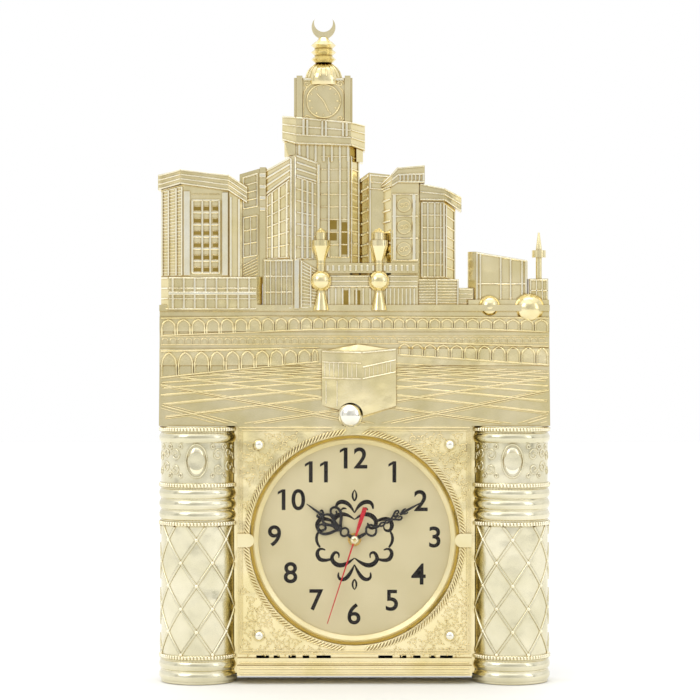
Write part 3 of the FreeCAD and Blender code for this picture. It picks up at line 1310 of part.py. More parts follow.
cells = []
plates = []
cell_low = "bay_height - cell_length / 2"
for spot in range(3):
    side = f"bay_side + ({spot} - 1) * (2 * cell_radius + 0.6)"
    cells.append(aa_cell(f"azan_cell_{spot}", side, "bay_depth - cell_radius", cell_low))
    for word, low, high in (("low", f"{cell_low} - 0.8", cell_low),
                            ("high", f"{cell_low} + cell_length", f"{cell_low} + cell_length + 0.8")):
        plates.append(box(f"bay_contact_{word}_{spot}", (f"{side} - 4.5", f"{side} + 4.5"),
                          ("bay_depth - cell_radius - 4", "bay_depth"), (low, high)))
node("sound_cells", group("azan_cells", cells))
node("cell_contacts", group("bay_contacts", plates))
door = fuse("door_whole", [
    box("door_leaf", ("bay_side - bay_half_width - 1 + gap", "bay_side + bay_half_width + 1 - gap"),
        ("0.3", "door_thick"), ("bay_height - bay_half_height", "bay_height + bay_half_height")),
    box("door_rib", ("bay_side - 14", "bay_side + 14"), ("0.15", "0.6"), ("bay_height + 17", "bay_height + 18.5")),
    box("door_rib_low", ("bay_side - 14", "bay_side + 14"), ("0.15", "0.6"), ("bay_height + 20", "bay_height + 21.5"))])
node("battery_door", door)

doc.recompute()
broken = []
for thing in doc.Objects:
    if "Invalid" in thing.State or "Error" in thing.State:
        broken.append(thing.Name)
for thing in nodes:
    if thing.Shape.isNull() or not thing.Shape.isValid():
        broken.append(thing.Label)
if broken:
    raise RuntimeError("not built: " + ", ".join(broken))

os.makedirs("parts", exist_ok=True)
for thing in nodes:
    thing.Shape.exportStep(f"parts/{thing.Label}.step")
    print(f"{thing.Label}: {len(thing.Shape.Solids)} solids, {thing.Shape.Volume:.0f} mm3")
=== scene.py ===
import json
import random
from math import cos, degrees, hypot, pi, radians, sin
import bmesh
import bpy
from mathutils import Matrix, Vector


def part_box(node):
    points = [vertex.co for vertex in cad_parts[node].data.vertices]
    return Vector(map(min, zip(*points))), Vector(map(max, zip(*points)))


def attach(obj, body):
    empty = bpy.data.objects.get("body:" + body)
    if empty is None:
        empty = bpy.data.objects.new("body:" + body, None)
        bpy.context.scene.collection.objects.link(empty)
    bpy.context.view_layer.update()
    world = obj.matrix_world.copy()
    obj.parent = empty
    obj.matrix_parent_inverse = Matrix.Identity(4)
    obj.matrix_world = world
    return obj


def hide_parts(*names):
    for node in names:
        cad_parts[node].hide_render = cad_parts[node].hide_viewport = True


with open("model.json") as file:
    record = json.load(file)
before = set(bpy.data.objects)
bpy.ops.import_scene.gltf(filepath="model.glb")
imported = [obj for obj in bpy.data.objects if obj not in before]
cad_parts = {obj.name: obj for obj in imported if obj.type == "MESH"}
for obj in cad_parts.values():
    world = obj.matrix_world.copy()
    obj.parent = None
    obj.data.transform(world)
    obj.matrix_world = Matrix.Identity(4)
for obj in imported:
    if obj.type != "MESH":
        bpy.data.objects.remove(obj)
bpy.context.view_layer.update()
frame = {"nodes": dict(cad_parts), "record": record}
nodes = frame["nodes"]
scene = bpy.context.scene
print("frame loaded with", len(nodes), "nodes")

# Places are given as side, depth and height: millimetres from the centre line, the wall and the foot.
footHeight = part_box("column_left")[0].z * 1000


def at(side, depth, height):
    return Vector((side, -depth, height + footHeight)) / 1000


# Colours and materials

def colour(text):
    # sRGB hex to the linear values that the shader wants
    parts = [int(text[i:i + 2], 16) / 255 for i in (0, 2, 4)]
    linear = [p / 12.92 if p <= 0.04045 else ((p + 0.055) / 1.055) ** 2.4 for p in parts]
    return (*linear, 1)


def perMetre(millimetres):
    # the texture scale that gives features of this size
    return 1000 / millimetres


def join(node, links):
    # a node among the sources stands for its first output
    for key, source in links.items():
        socket = source.outputs[0] if isinstance(source, bpy.types.Node) else source
        node.id_data.links.new(socket, node.inputs[key])


def addNode(tree, kind, links=None, inputs=None, **settings):
    node = tree.nodes.new("ShaderNode" + kind)
    for key, value in settings.items():
        setattr(node, key, value)
    for key, value in (inputs or {}).items():
        node.inputs[key].default_value = value
    join(node, links or {})
    return node


def emptyMaterial(name):
    made = bpy.data.materials.new(name)
    made.use_nodes = True
    tree = made.node_tree
    tree.nodes.clear()
    return made, tree, addNode(tree, "TexCoord").outputs["Object"]


def newMaterial(name, **shader):
    made, tree, place = emptyMaterial(name)
    surface = addNode(tree, "BsdfPrincipled", inputs=shader)
    addNode(tree, "OutputMaterial", links={"Surface": surface})
    return made, tree, place, surface


def setStops(ramp, stops):
    # a colour ramp has two stops of its own, and the others are added
    for i, (position, tone) in enumerate(stops):
        stop = ramp.color_ramp.elements[i] if i < 2 else ramp.color_ramp.elements.new(position)
        stop.position, stop.color = position, tone


def mottled(tree, place, size, low, high, detail=3):
    # two tones that drift into each other over patches of the given size
    ramp = addNode(tree, "ValToRGB", {"Fac": noise(tree, place, size, detail)})
    setStops(ramp, ((0.35, low), (0.65, high)))
    return ramp


def grey(value):
    return (value, value, value, 1)


def toned(tree, place, surface, size, low, high, detail=3):
    join(surface, {"Base Color": mottled(tree, place, size, colour(low), colour(high), detail)})


def hazed(tree, place, surface, size, roughness, spread):
    join(surface, {"Roughness": mottled(tree, place, size, grey(roughness), grey(roughness + spread))})


def noise(tree, place, size, detail=2):
    # smooth random bumps of a size in millimetres
    return addNode(tree, "TexNoise", {"Vector": place}, {"Scale": perMetre(size), "Detail": detail})


def bumped(tree, place, surface, size, height):
    bump = addNode(tree, "Bump", {"Height": noise(tree, place, size)}, {"Distance": height / 1000})
    join(surface, {"Normal": bump})


# In millimetres: patches of tone and haze, sink marks, orange peel and its height, and the reach of the
# painted shade in a crease
plating = {"tone": 26, "haze": 9, "sink": 17, "peel": 2.2, "peelHeight": 0.03, "creaseShade": 1.6}


def platedGold(name, low, high, polish, creaseShade="9C7A26", sag=0.7):
    # vacuum-plated pale gold over moulded ABS: a mirror that wanders a little where the plastic sank.
    # In the creases a deep yellow is painted in where ambient occlusion finds the surface closed in: painted
    # shade that stands for light bounced from gold to gold
    made, tree, place, surface = newMaterial(name, Metallic=1)
    tone = mottled(tree, place, plating["tone"], colour(low), colour(high))
    hazed(tree, place, surface, plating["haze"], polish, 0.07)
    # painted shade: the crease colour is mixed into the base colour wherever the ambient occlusion is low
    free = addNode(tree, "AmbientOcclusion", inputs={"Distance": plating["creaseShade"] / 1000}, samples=6)
    clear = addNode(tree, "MapRange", {"Value": free.outputs["AO"]}, {"From Min": 0.25, "From Max": 0.9})
    shown = addNode(tree, "MixRGB", {"Fac": clear, "Color2": tone}, {"Color1": colour(creaseShade)})
    sink, peel = noise(tree, place, plating["sink"], 1), noise(tree, place, plating["peel"])
    wide = addNode(tree, "Bump", {"Height": sink}, {"Distance": sag / 1000})
    fine = addNode(tree, "Bump", {"Height": peel, "Normal": wide},
                   {"Distance": plating["peelHeight"] / 1000})
    join(surface, {"Base Color": shown, "Normal": fine})
    return made


def mouldedPlastic(name, low, high, grainSize, gloss):
    # ABS or acetal from a spark-eroded mould: an even tone with a fine satin grain
    made, *parts = newMaterial(name, IOR=1.5)
    toned(*parts, 14, low, high)
    hazed(*parts, 5, gloss, 0.12)
    bumped(*parts, grainSize, 0.03)
    return made


def paintedMetal(name, low, high):
    # thin enamel on pressed brass: deep colour under a soft gloss
    coat = {"Coat Weight": 0.15, "Coat Roughness": 0.2}
    made, *parts = newMaterial(name, IOR=1.45, Roughness=0.38, **coat)
    toned(*parts, 3, low, high)
    bumped(*parts, 0.9, 0.012)
    return made


def bareMetal(name, low, high, roughness, drawSize):
    # zinc-plated steel or brass: a metal with the faint streaks of rolling or turning
    made, tree, place, surface = newMaterial(name, Metallic=1)
    streaks = addNode(tree, "Mapping", {"Vector": place}, {"Scale": (1, 1, 12)}).outputs["Vector"]
    toned(tree, streaks, surface, drawSize, low, high)
    hazed(tree, streaks, surface, drawSize / 2, roughness, 0.15)
    bumped(tree, streaks, surface, drawSize / 3, 0.01)
    return made


def printedCard():
    # cream ink on a smooth dial card: flat and warm, with a trace of paper tooth
    made, *parts = newMaterial("printedDialCard", IOR=1.45, Roughness=0.62)
    toned(*parts, 30, "CBBF96", "D3C7A0", 2)
    bumped(*parts, 0.5, 0.006)
    return made


def clearLens():
    # flat mineral glass: almost nothing to see but a thin veil of reflection
    made, tree, place = emptyMaterial("mineralGlass")
    wave = noise(tree, place, 60, 1)
    bump = addNode(tree, "Bump", {"Height": wave}, {"Distance": 0.0004})
    clear = addNode(tree, "BsdfTransparent", inputs={"Color": grey(1)})
    mirror = addNode(tree, "BsdfGlossy", {"Normal": bump}, {"Roughness": 0.02})
    edge = addNode(tree, "Fresnel", inputs={"IOR": 1.22})
    inner = addNode(tree, "NewGeometry").outputs["Backfacing"]
    share = addNode(tree, "MixRGB", {"Fac": inner, "Color1": edge}, {"Color2": grey(0)})
    mix = addNode(tree, "MixShader", {0: share, 1: clear, 2: mirror})
    addNode(tree, "OutputMaterial", links={"Surface": mix})
    return made


def solderMask():
    # green lacquer over copper tracks: the tracks show as slightly paler blocks
    made, tree, place, surface = newMaterial("solderMask", IOR=1.5, Roughness=0.35, **{"Coat Weight": 0.5})
    track = addNode(tree, "TexBrick", {"Vector": place},
                    {"Color1": colour("1E6B3C"), "Color2": colour("1A5C34"), "Mortar": colour("2E8A50"),
                     "Scale": perMetre(6), "Mortar Size": 0.04})
    join(surface, {"Base Color": track})
    bumped(tree, place, surface, 1.2, 0.02)
    return made


def cellSleeve():
    # shrunk plastic sleeve round a dry cell: plain dark body with a lighter band, no print
    made, tree, place, surface = newMaterial("cellSleeve", IOR=1.5, Roughness=0.3, **{"Coat Weight": 0.3})
    band = addNode(tree, "TexWave", {"Vector": place}, {"Scale": perMetre(90)}, bands_direction="Z")
    ramp = addNode(tree, "ValToRGB", {"Fac": band.outputs["Fac"]})
    setStops(ramp, ((0.62, colour("23303F")), (0.64, colour("C9A24A"))))
    join(surface, {"Base Color": ramp})
    bumped(tree, place, surface, 4, 0.02)
    return made


def woundCopper():
    # enamelled wire in close turns
    made, tree, place, surface = newMaterial("enamelledCopper", Metallic=1, Roughness=0.3)
    wave = addNode(tree, "TexWave", {"Vector": place}, {"Scale": perMetre(3.2)}, bands_direction="X")
    turns = wave.outputs["Fac"]
    ramp = addNode(tree, "ValToRGB", {"Fac": turns})
    setStops(ramp, ((0, colour("6E3216")), (1, colour("C9763F"))))
    bump = addNode(tree, "Bump", {"Height": turns}, {"Distance": 0.0001})
    join(surface, {"Base Color": ramp, "Normal": bump})
    return made


gold = platedGold("platedGoldAbs", "E8DAA6", "F3E6BB", 0.14)
paleGold = platedGold("platedPaleGoldAbs", "DAD4B6", "E8E2C8", 0.17, "A08840", 0.9)
# painted highlight: a paler copy of the plated gold whose lighter base colour lifts the tower ribs, beads,
# bosses and hub cap to the brightness of their highlights
paintedHighlightGold = platedGold("paleGoldPaintedHighlight", "F8F0D0", "FEFAE6", 0.16, "C4A85A", 0.5)
satinGold = platedGold("platedSatinGoldAbs", "EDE0AE", "F5EAC0", 0.42, "BFA04A", 0.2)
# painted shade: a darkened copy of the plated gold for the dark window openings, standing in for their shadow
paintedShadeGold = platedGold("shadedGoldRecess", "8A7434", "A58C48", 0.35)
chromed = platedGold("platedChromeAbs", "EFECDC", "F7F4E8", 0.08, "5A5648", 0.3)
blackPlastic = mouldedPlastic("blackMouldedAbs", "0D0D0E", "151516", 0.8, 0.46)
greyPlastic = mouldedPlastic("greyMouldedAbs", "8C8E90", "9A9C9E", 0.8, 0.42)
whitePlastic = mouldedPlastic("whiteAcetal", "DAD8CE", "E6E4DC", 0.6, 0.35)
blackPaint = paintedMetal("blackEnamel", "0B0908", "161212")
redPaint = paintedMetal("redEnamel", "B40E1E", "CC1828")
printInk = mouldedPlastic("blackDialInk", "120C08", "1C140E", 0.5, 0.8)
brass = bareMetal("turnedBrass", "B8934A", "D0AC62", 0.22, 3)
steel = bareMetal("zincPlatedSteel", "9C9EA0", "BEC0C2", 0.25, 3)
copper = woundCopper()
dialCard = printedCard()
lensGlass = clearLens()
circuit = solderMask()
sleeve = cellSleeve()
coneCard = mouldedPlastic("pressedPaperCone", "0E0E10", "1A1A1C", 1.6, 0.8)

slotMaterials = {
    "gilt": gold, "chrome": chromed, "dial": dialCard, "glass": lensGlass, "black_plastic": blackPlastic,
    "grey_plastic": greyPlastic, "white_plastic": whitePlastic, "black_paint": blackPaint,
    "red_paint": redPaint, "gold_metal": brass, "brass": brass, "steel": steel, "copper": copper,
    "circuit": circuit, "cell": sleeve, "card": coneCard,
}
nodeMaterials = {
    "column_left": paleGold, "column_right": paleGold, "lens_clips": satinGold, "corner_studs": chromed,
    "dial_bezel": satinGold, "hub_cap": paintedHighlightGold,
}

for item in frame["record"]["subparts"]:
    node = nodes[item["node"]]
    node.data.materials.clear()
    node.data.materials.append(nodeMaterials.get(item["node"], slotMaterials[item["material_slot"]]))
print("materials set on the nodes")


# Making and finishing pieces

def finishPiece(name, shape, material, body="root", smooth=True, bevel=0.0):
    mesh = meshFrom(name, shape) if isinstance(shape, bmesh.types.BMesh) else shape
    piece = bpy.data.objects.new(name, mesh)
    scene.collection.objects.link(piece)
    mesh.materials.clear()
    mesh.materials.append(material)
    mesh.polygons.foreach_set("use_smooth", [smooth] * len(mesh.polygons))
    if bevel:
        softened = piece.modifiers.new("softEdges", "BEVEL")
        softened.width = bevel / 1000
        softened.segments = 1
        softened.limit_method = "ANGLE"
    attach(piece, body)
    return piece


def meshFrom(name, bm):
    mesh = bpy.data.meshes.new(name)
    bm.to_mesh(mesh)
    bm.free()
    return mesh


def meshOf(name, data):
    # the mesh of a curve or a text
    drawn = bpy.data.objects.new(name + "Drawn", data)
    scene.collection.objects.link(drawn)
    bpy.context.view_layer.update()
    mesh = bpy.data.meshes.new_from_object(drawn.evaluated_get(bpy.context.evaluated_depsgraph_get()))
    bpy.data.objects.remove(drawn)
    mesh.name = name
    return mesh


def strokePiece(name, lines, radius, material, body="root", turns=1):
    # round-backed raised lines: each line is a list of points, or of points with a thickness share
    curve = bpy.data.curves.new(name, "CURVE")
    curve.dimensions = "3D"
    curve.bevel_depth = radius / 1000
    curve.bevel_resolution = turns
    curve.resolution_u = 3
    curve.use_fill_caps = True
    for line in lines:
        spline = curve.splines.new("NURBS")
        spline.points.add(len(line) - 1)
        for point, place in zip(spline.points, line):
            point.co = (*place[:3], 1)
            point.radius = place[3] if len(place) > 3 else 1
        spline.order_u = 3
        spline.use_endpoint_u = True
    return finishPiece(name, meshOf(name, curve), material, body)


def flatPiece(name, strokes, width, material, body, turns=1):
    # strokes in a lying plane, each point with side, height and thickness share
    lines = [[(side / 1000, height / 1000, 0, share) for side, height, share in stroke] for stroke in strokes]
    return strokePiece(name, lines, width, material, body, turns)


def standUp(piece, spot, press, turned=0):
    # presses a flat piece thin, swings it clockwise and stands it up at the spot
    stand = Matrix.Rotation(pi / 2, 4, "X") @ Matrix.Rotation(radians(-turned), 4, "Z")
    piece.data.transform(Matrix.Translation(spot) @ stand @ Matrix.Diagonal((1, 1, press, 1)))


def addBox(bm, sides, depths, heights):
    spans = [(high - low) / 1000 for low, high in (sides, depths, heights)]
    middle = at(*[(low + high) / 2 for low, high in (sides, depths, heights)])
    place = Matrix.Translation(middle) @ Matrix.Diagonal((*spans, 1))
    return bmesh.ops.create_cube(bm, size=1, matrix=place)["verts"]


def evenly(start, end, count):
    # points at even steps along a straight line, both ends included
    return [tuple(a + (b - a) * i / count for a, b in zip(start, end)) for i in range(count + 1)]


def clockSpot(side, height, reach, angle):
    # side and height of a spot on a ring, with the angle clockwise from its top
    return side + reach * sin(angle), height + reach * cos(angle)


def onFace(face, side, height):
    (leftSide, leftDepth), (rightSide, rightDepth) = face
    share = (side - leftSide) / (rightSide - leftSide)
    return at(side, leftDepth + share * (rightDepth - leftDepth), height)


def addRib(bm, face, start, end, width, rise):
    (leftSide, leftDepth), (rightSide, rightDepth) = face
    low, high = onFace(face, *start), onFace(face, *end)
    across = Vector((rightSide - leftSide, leftDepth - rightDepth, 0)).normalized()
    outward = across.cross(Vector((0, 0, 1)))
    along = (high - low).normalized()
    over = outward.cross(along)
    stretch = (along * (high - low).length, over * width / 1000, outward * 2 * rise / 1000)
    place = Matrix(stretch).transposed().to_4x4()
    place.translation = (low + high) / 2
    bmesh.ops.create_cube(bm, size=1, matrix=place)


def addGrid(bm, face, sides, low, high, rows, ribSize=(), ribs=()):
    # rows fan out between the low and the high line, and upright ribs stand between them
    low, high = [line if isinstance(line, tuple) else (line, line) for line in (low, high)]
    count, *rowSize = rows or (0,)

    def onLine(line, side):
        return line[0] + (line[1] - line[0]) * (side - sides[0]) / (sides[1] - sides[0])

    for row in range(count):
        share = row / max(count - 1, 1)
        heights = [low[i] + (high[i] - low[i]) * share for i in (0, 1)]
        addRib(bm, face, (sides[0], heights[0]), (sides[1], heights[1]), *rowSize)
    for side in ribs:
        addRib(bm, face, (side, onLine(low, side)), (side, onLine(high, side)), *ribSize)


def spaced(first, pitch, count):
    return [first + pitch * i for i in range(count)]


# The towers and houses: window grids, cornices and ribs over the plain blocks of the casting. A wall has the
# side and depth of its two ends, then its grids: sides, low and high line (one height where level), rows as
# (count, width, rise), and for the upright ribs their (width, rise) and their sides.
facades = {
    "hotelDetail": [
        ((-146.5, 19), (-129, 27), [
            ((-145.8, -129.6), 306, (369.5, 373.5), (27, 0.9, 0.6), (1.3, 1.2),
             (-145.4, -140.4, -134.4, -130))]),
        ((-129, 27), (-95, 25.5), [
            ((-122.8, -101.4), 308, 363, (7, 1.6, 0.9), (1.5, 1.4), (-122.2, -114.8, -108.8, -102)),
            ((-122.8, -101.4), 312.6, 367.6, (7, 0.6, 0.5)),
            ((-129, -95), 306, (370, 369), (), (4.8, 1), (-126.4, -97.7))]),
        ((-94.5, 27.5), (-86.3, 25), [((-94.5, -86.3), 303, (366, 364), (), (1.6, 1.1), (-93.4, -87.3))]),
        ((-148.7, 21), (-131, 31), [((-148, -131), (371.8, 375.8), (381.8, 385.4), (4, 1.1, 0.9))]),
        ((-131, 31), (-95, 29.5), [((-131, -95), (375.8, 370.8), (385.4, 381.4), (4, 1.1, 0.9))]),
        ((-95, 29.5), (-81, 23), [((-95, -81.3), (370.8, 361.9), (381.4, 372.4), (4, 1.1, 0.9))]),
    ],
    "hotelPodiumDetail": [
        ((-140, 31), (-73.4, 30), [
            ((-139.8, -73.8), 281, 304.2, (4, 1.1, 0.9), (1.6, 1.1), spaced(-136.7, 8.2, 8))]),
        ((-146, 25), (-140, 31), [((-145.7, -140), 281, 304.2, (4, 1.1, 0.9))]),
        ((-140, 31), (-73.4, 30), [((-139.8, -73.8), 292.6, 292.6, (1, 2.4, 1.3))]),
    ],
    "annexDetail": [
        ((-87, 20), (-72.7, 22), [
            ((-84.6, -73), (320, 322), (350, 352), (4, 1.1, 0.9), (1.2, 1), (-84, -78.5, -73.5)),
            ((-84.6, -73), (357, 359), (380, 383.5), (5, 1.1, 0.9), (1.3, 1.1), (-84, -73.5)),
            ((-84.6, -73), (303.5, 308), (314, 320), (6, 0.9, 0.8))]),
        ((-71.5, 25), (-67, 25), [((-71.6, -66.9), 356.4, 381.8, (4, 2.8, 0.9))]),
    ],
    "blockDetail": [
        ((-68, 22), (-48.6, 28), [
            ((-66.8, -48.8), (318.8, 320), (366, 378.5), (7, 1.1, 0.9), (1.5, 1.3),
             (-66.2, -62.1, -56.9, -51)),
            ((-67.8, -48.6), (367.5, 381), (385, 394.8), (4, 1.6, 1.2))]),
        ((-48.6, 28), (-44, 29), [((-48.6, -44), 318, (394, 396), (), (1.3, 1.3), (-47.9, -44.6))]),
        ((-44, 29), (-26, 25), [
            ((-43.8, -28.6), 318.8, (380.5, 375.5), (8, 1.1, 0.9), (1.8, 1.3), (-39.4, -35.6, -31.8)),
            ((-43.8, -26.4), (381.8, 376.8), (396.4, 390.4), (4, 1.5, 1.2))]),
        ((-28.4, 27.5), (-26, 27.5), [((-28.4, -26), 313, 390, (), (1.8, 1), (-27.2,))]),
        ((-69, 27), (-41, 30), [
            ((-68.4, -46.4), 281.6, 317.4, (4, 1.1, 0.9), (1.2, 1), spaced(-67.4, 4.1, 6)),
            ((-69, -41), 281, 318, (), (3.6, 1.5), (-43.4,))]),
        ((-41, 30), (-25, 28), [
            ((-40.8, -25.6), 282, (317.4, 308.6), (14, 1, 0.8), (1.4, 1.1), (-40, -33, -26.4))]),
    ],
    "towerDetail": [
        ((-44, 26), (-3.4, 27), [
            ((-25.6, -3.8), 320, 396, (9, 0.9, 0.7), (1.6, 1.3), (-19.5, -10.9, -4.6)),
            ((-43.4, -3.8), 392, (405.4, 404.2), (), (1.7, 1.6), spaced(-41.5, 6.1, 7))]),
        ((-3.4, 27), (3.4, 20), [((-3.2, 3.2), 312, (396, 394), (10, 1.1, 0.9), (1.3, 1.1), (-2.6, 2.8))]),
        ((-54.6, 23), (-44, 31), [((-54.4, -44), (409.2, 405.8), (426.2, 424.8), (4, 1.1, 0.9))]),
        ((-44, 31), (-2.6, 32), [((-44, -2.6), (405.8, 404.3), (424.8, 420.8), (4, 1.1, 0.9))]),
        ((-2.6, 32), (7.9, 22), [((-2.6, 7.7), (404.3, 401.4), (420.8, 419.3), (4, 1.1, 0.9))]),
        ((-44, 31), (-2.6, 32), [
            ((-44, -2.6), (411.4, 410.4), (424, 420.4), (), (1.7, 1.6),
             (-38.2, -35.6, -24.2, -21.6, -8.6, -6))]),
        ((-45.6, 29), (-1.5, 29), [((-38.9, -7.7), 421.4, 453.8, (2, 1.6, 1))]),
    ],
    "cornerHouseDetail": [
        ((1.9, 17), (10.9, 25), [((2.3, 10.7), 304, (376, 382), (10, 1.6, 0.9))]),
        ((10.9, 25), (26.7, 22.5), [
            ((11.2, 26.4), (372, 371), (382, 380.6), (3, 1.1, 0.9), (1.3, 1.1), (11.9, 25.8)),
            ((11.2, 26.4), 309, (371, 370), (), (1.1, 0.9), (11.9, 25.8))]),
    ],
    "roundTowerDetail": [
        ((18.4, 20), (27.5, 28), [((18.8, 27.3), 306, (369, 372), (9, 1.5, 0.9))]),
        ((27.5, 28), (48.5, 26.5), [((28, 48), 317.7, 367.5, (4, 1.1, 0.9), (2.6, 1.1), (30.1, 44.8))]),
        ((18.4, 21), (28, 30), [((18.8, 28), (370.8, 373.8), (373.6, 381.9), (3, 1.1, 0.9))]),
        ((28, 30), (32.5, 30.5), [((28, 32.5), (373.8, 376.8), (381.9, 386.9), (3, 1.1, 0.9))]),
        ((32.5, 30.5), (53, 27), [
            ((32.5, 52.6), 376.8, (386.9, 388.9), (3, 1.4, 1.1)),
            ((32.5, 52.6), 377.5, (382, 382.6), (), (1.3, 1), spaced(34.4, 2.9, 7))]),
    ],
    "flatHouseDetail": [
        ((50, 24), (68.1, 25), [
            ((50.4, 67.8), 305, (361.6, 361.2), (7, 1.1, 0.9), (1.3, 1.3), (50.9, 55.3, 60.6, 65.1, 67.5))]),
        ((68.1, 25), (76.4, 18), [
            ((68.3, 76.1), (305, 303), (360, 354.5), (8, 1, 0.8), (1.2, 1), (68.9, 75.6))]),
        ((49.3, 26), (68, 28), [((49.5, 68), (363.8, 363.3), (375.2, 371.3), (3, 1.1, 0.9))]),
        ((68, 28), (81, 20), [((68, 80.7), (363.3, 355.4), (371.3, 365.3), (3, 1.1, 0.9))]),
        ((47.8, 26), (61.4, 28), [((48, 61.4), 281.4, 302.7, (11, 0.9, 0.7))]),
        ((61.4, 28), (78.7, 25), [((61.4, 78.4), 281.4, 302.7, (11, 0.9, 0.7), (1.3, 1.1), (61.9, 77.9))]),
    ],
    "forecourtDetail": [
        ((-26, 28), (47.8, 28), [
            ((-25.8, 47.6), 298, 305.6, (3, 1.2, 1)),
            ((-25.8, 47.6), 281.8, 296.6, (), (1.3, 1), spaced(21, 3, 9)),
            ((-25.8, 47.6), 281.8, 296.6, (), (1.5, 1), spaced(-24.6, 5.2, 9))]),
        ((-26, 29.5), (47.8, 29.5), [((-25.8, 47.6), 309.4, 314, (), (2, 0.8), spaced(-24.6, 4.3, 17))]),
        ((78, 22), (90, 20), [((78.4, 89.6), 282, (296, 295.6), (5, 0.9, 0.7))]),
        ((91.5, 20), (130.6, 19), [
            ((92, 130.4), 284.6, (323.8, 317.6), (), (1.5, 1.1), (92.6, 95.3, 110.7, 118.2, 126.9, 130)),
            ((92, 130.4), 300, (323.4, 317.2), (2, 1.1, 0.9))]),
        ((132.2, 22), (146.5, 22), [
            ((132.6, 146.2), 287, 302.8, (3, 1.1, 0.9), (1.2, 0.9), (133.2, 137.6, 142, 145.6))]),
    ],
    "cubeDetail": [
        ((-24.5, 32), (5.6, 40), [
            ((-24.2, 5.2), (229, 228.4), (241, 240), (2, 1, 0.8), (0.7, 0.5), spaced(-22.4, 3.4, 8))]),
        ((5.6, 40), (31.2, 33), [
            ((6, 30.8), (228.4, 233.4), (237, 242.4), (2, 1, 0.8), (0.7, 0.5), spaced(8, 3.2, 7))]),
        ((-24.5, 32), (5.6, 40), [
            ((-24.2, 5.2), (210, 203), (227.4, 226.8), (), (0.8, 0.5), (-21.5, -13.2)),
            ((-24.2, 5.4), (248.8, 247.9), (248.8, 247.9), (1, 1.1, 0.9))]),
        ((5.6, 40), (31.2, 33), [((5.8, 31), (247.9, 250.2), (247.9, 250.2), (1, 1.1, 0.9))]),
    ],
}


def facadePieces():
    for name, walls in facades.items():
        bm = bmesh.new()
        for left, right, grids in walls:
            for grid in grids:
                addGrid(bm, (left, right), *grid)
        finishPiece(name, bm, paintedHighlightGold, smooth=False, bevel=0.3)


facadePieces()

# The sloping roof of the cube in the court, between its front edges and the arcade behind it
cubeRoof = {
    "corners": ((-24.3, 31.6, 249.2), (5.6, 39.6, 247.6), (31, 32.6, 250.2), (2.3, 37, 254.4)), "thick": 9,
}


def roofPiece():
    bm = bmesh.new()
    left, front, right, back = [bm.verts.new(at(*corner)) for corner in cubeRoof["corners"]]
    halves = [bm.faces.new((left, front, back)), bm.faces.new((front, right, back))]
    grown = bmesh.ops.extrude_face_region(bm, geom=halves)
    for vert in [item for item in grown["geom"] if isinstance(item, bmesh.types.BMVert)]:
        vert.co.y += cubeRoof["thick"] / 1000
    bmesh.ops.recalc_face_normals(bm, faces=bm.faces[:])
    finishPiece("cubeRoof", bm, gold, smooth=False, bevel=0.3)


roofPiece()
print("facades ribbed")

# Openings that read dark in the photograph: thin plates in a darkened gold laid between the ribs, painted
# shade that stands for the shadow in set-back openings
panes = {
    "shaftPanes": ((-44, 26), (-3.4, 27), [
        (-19, 341, -13.4, 347.9), (-19, 332.6, -13.4, 338.2), (-9.6, 322, -5.4, 346.4)]),
    "hotelPanes": ((-129, 27), (-95, 25.5), [
        (-121.2 + 7.1 * i, 309.4 + 9.2 * j, -115.9 + 6.6 * i, 311.9 + 9.2 * j)
        for i in range(3) for j in range(6)]),
    "forecourtPanes": ((-26, 28), (47.8, 28), [(-8.6, 283, -4.4, 295), (-0.2, 283, 4.4, 295)]),
}
paneRise = 0.18


def darkPanes():
    for name, (left, right, boxes) in panes.items():
        bm = bmesh.new()
        for lowSide, lowHeight, highSide, highHeight in boxes:
            middle = (lowSide + highSide) / 2
            addRib(bm, (left, right), (middle, lowHeight), (middle, highHeight), highSide - lowSide, paneRise)
        finishPiece(name, bm, paintedShadeGold, smooth=False, bevel=0.08)


darkPanes()
print("panes set")

# The court: two arcades, a row of little arches and the paved floor, all on the sloping apron. The slope is
# given by height and depth, and a strip by its low and its high edge and the depth of its front.
court = {
    "slopeFoot": (193, 34), "slopeKnee": (243, 27.5), "slopeTop": (284, 26), "middle": 10, "spread": 150,
    "upperStrip": (264, 275, 28), "cloisterStrip": (238.5, 251, 29), "edge": 146.2, "crownGap": 1.2,
}


def courtDepth(height):
    for low, high, depth in (court["upperStrip"], court["cloisterStrip"]):
        if low <= height <= high:
            return depth
    foot, knee, top = court["slopeFoot"], court["slopeKnee"], court["slopeTop"]
    (lowHeight, lowDepth), (highHeight, highDepth) = (foot, knee) if height < knee[0] else (knee, top)
    return lowDepth + (highDepth - lowDepth) * (height - lowHeight) / (highHeight - lowHeight)


def onCourt(side, height):
    return at(side, courtDepth(height), height)


def lineAt(points, side):
    for (leftSide, leftHeight), (rightSide, rightHeight) in zip(points, points[1:]):
        if side <= rightSide:
            return leftHeight + (rightHeight - leftHeight) * (side - leftSide) / (rightSide - leftSide)
    return points[-1][1]


arcades = {
    "upperArcade": dict(top=[(-147, 274), (-41, 275.4), (147, 274)], pitch=(8.3, 11.4), sides=(-146, 146.2),
                        bottom=[(-147, 261), (-79, 263.6), (-18, 266), (87, 266), (147, 263.8)]),
    "lowerArcadeLeft": dict(top=[(-147, 249), (-26, 251.6)], bottom=[(-147, 229), (-79, 236.4), (-26, 241.4)],
                            pitch=(9, 12.4), sides=(-146, -27)),
    "lowerArcadeRight": dict(top=[(33, 256), (147, 252.6)], bottom=[(33, 246.4), (147, 238.7)],
                             pitch=(9, 12), sides=(33, 146.2)),
    "littleArches": dict(top=[(-147, 260.4), (147, 260.4)], bottom=[(-147, 254), (147, 255.4)],
                         pitch=(5.2, 6), sides=(-146, 146), line=0.45),
}


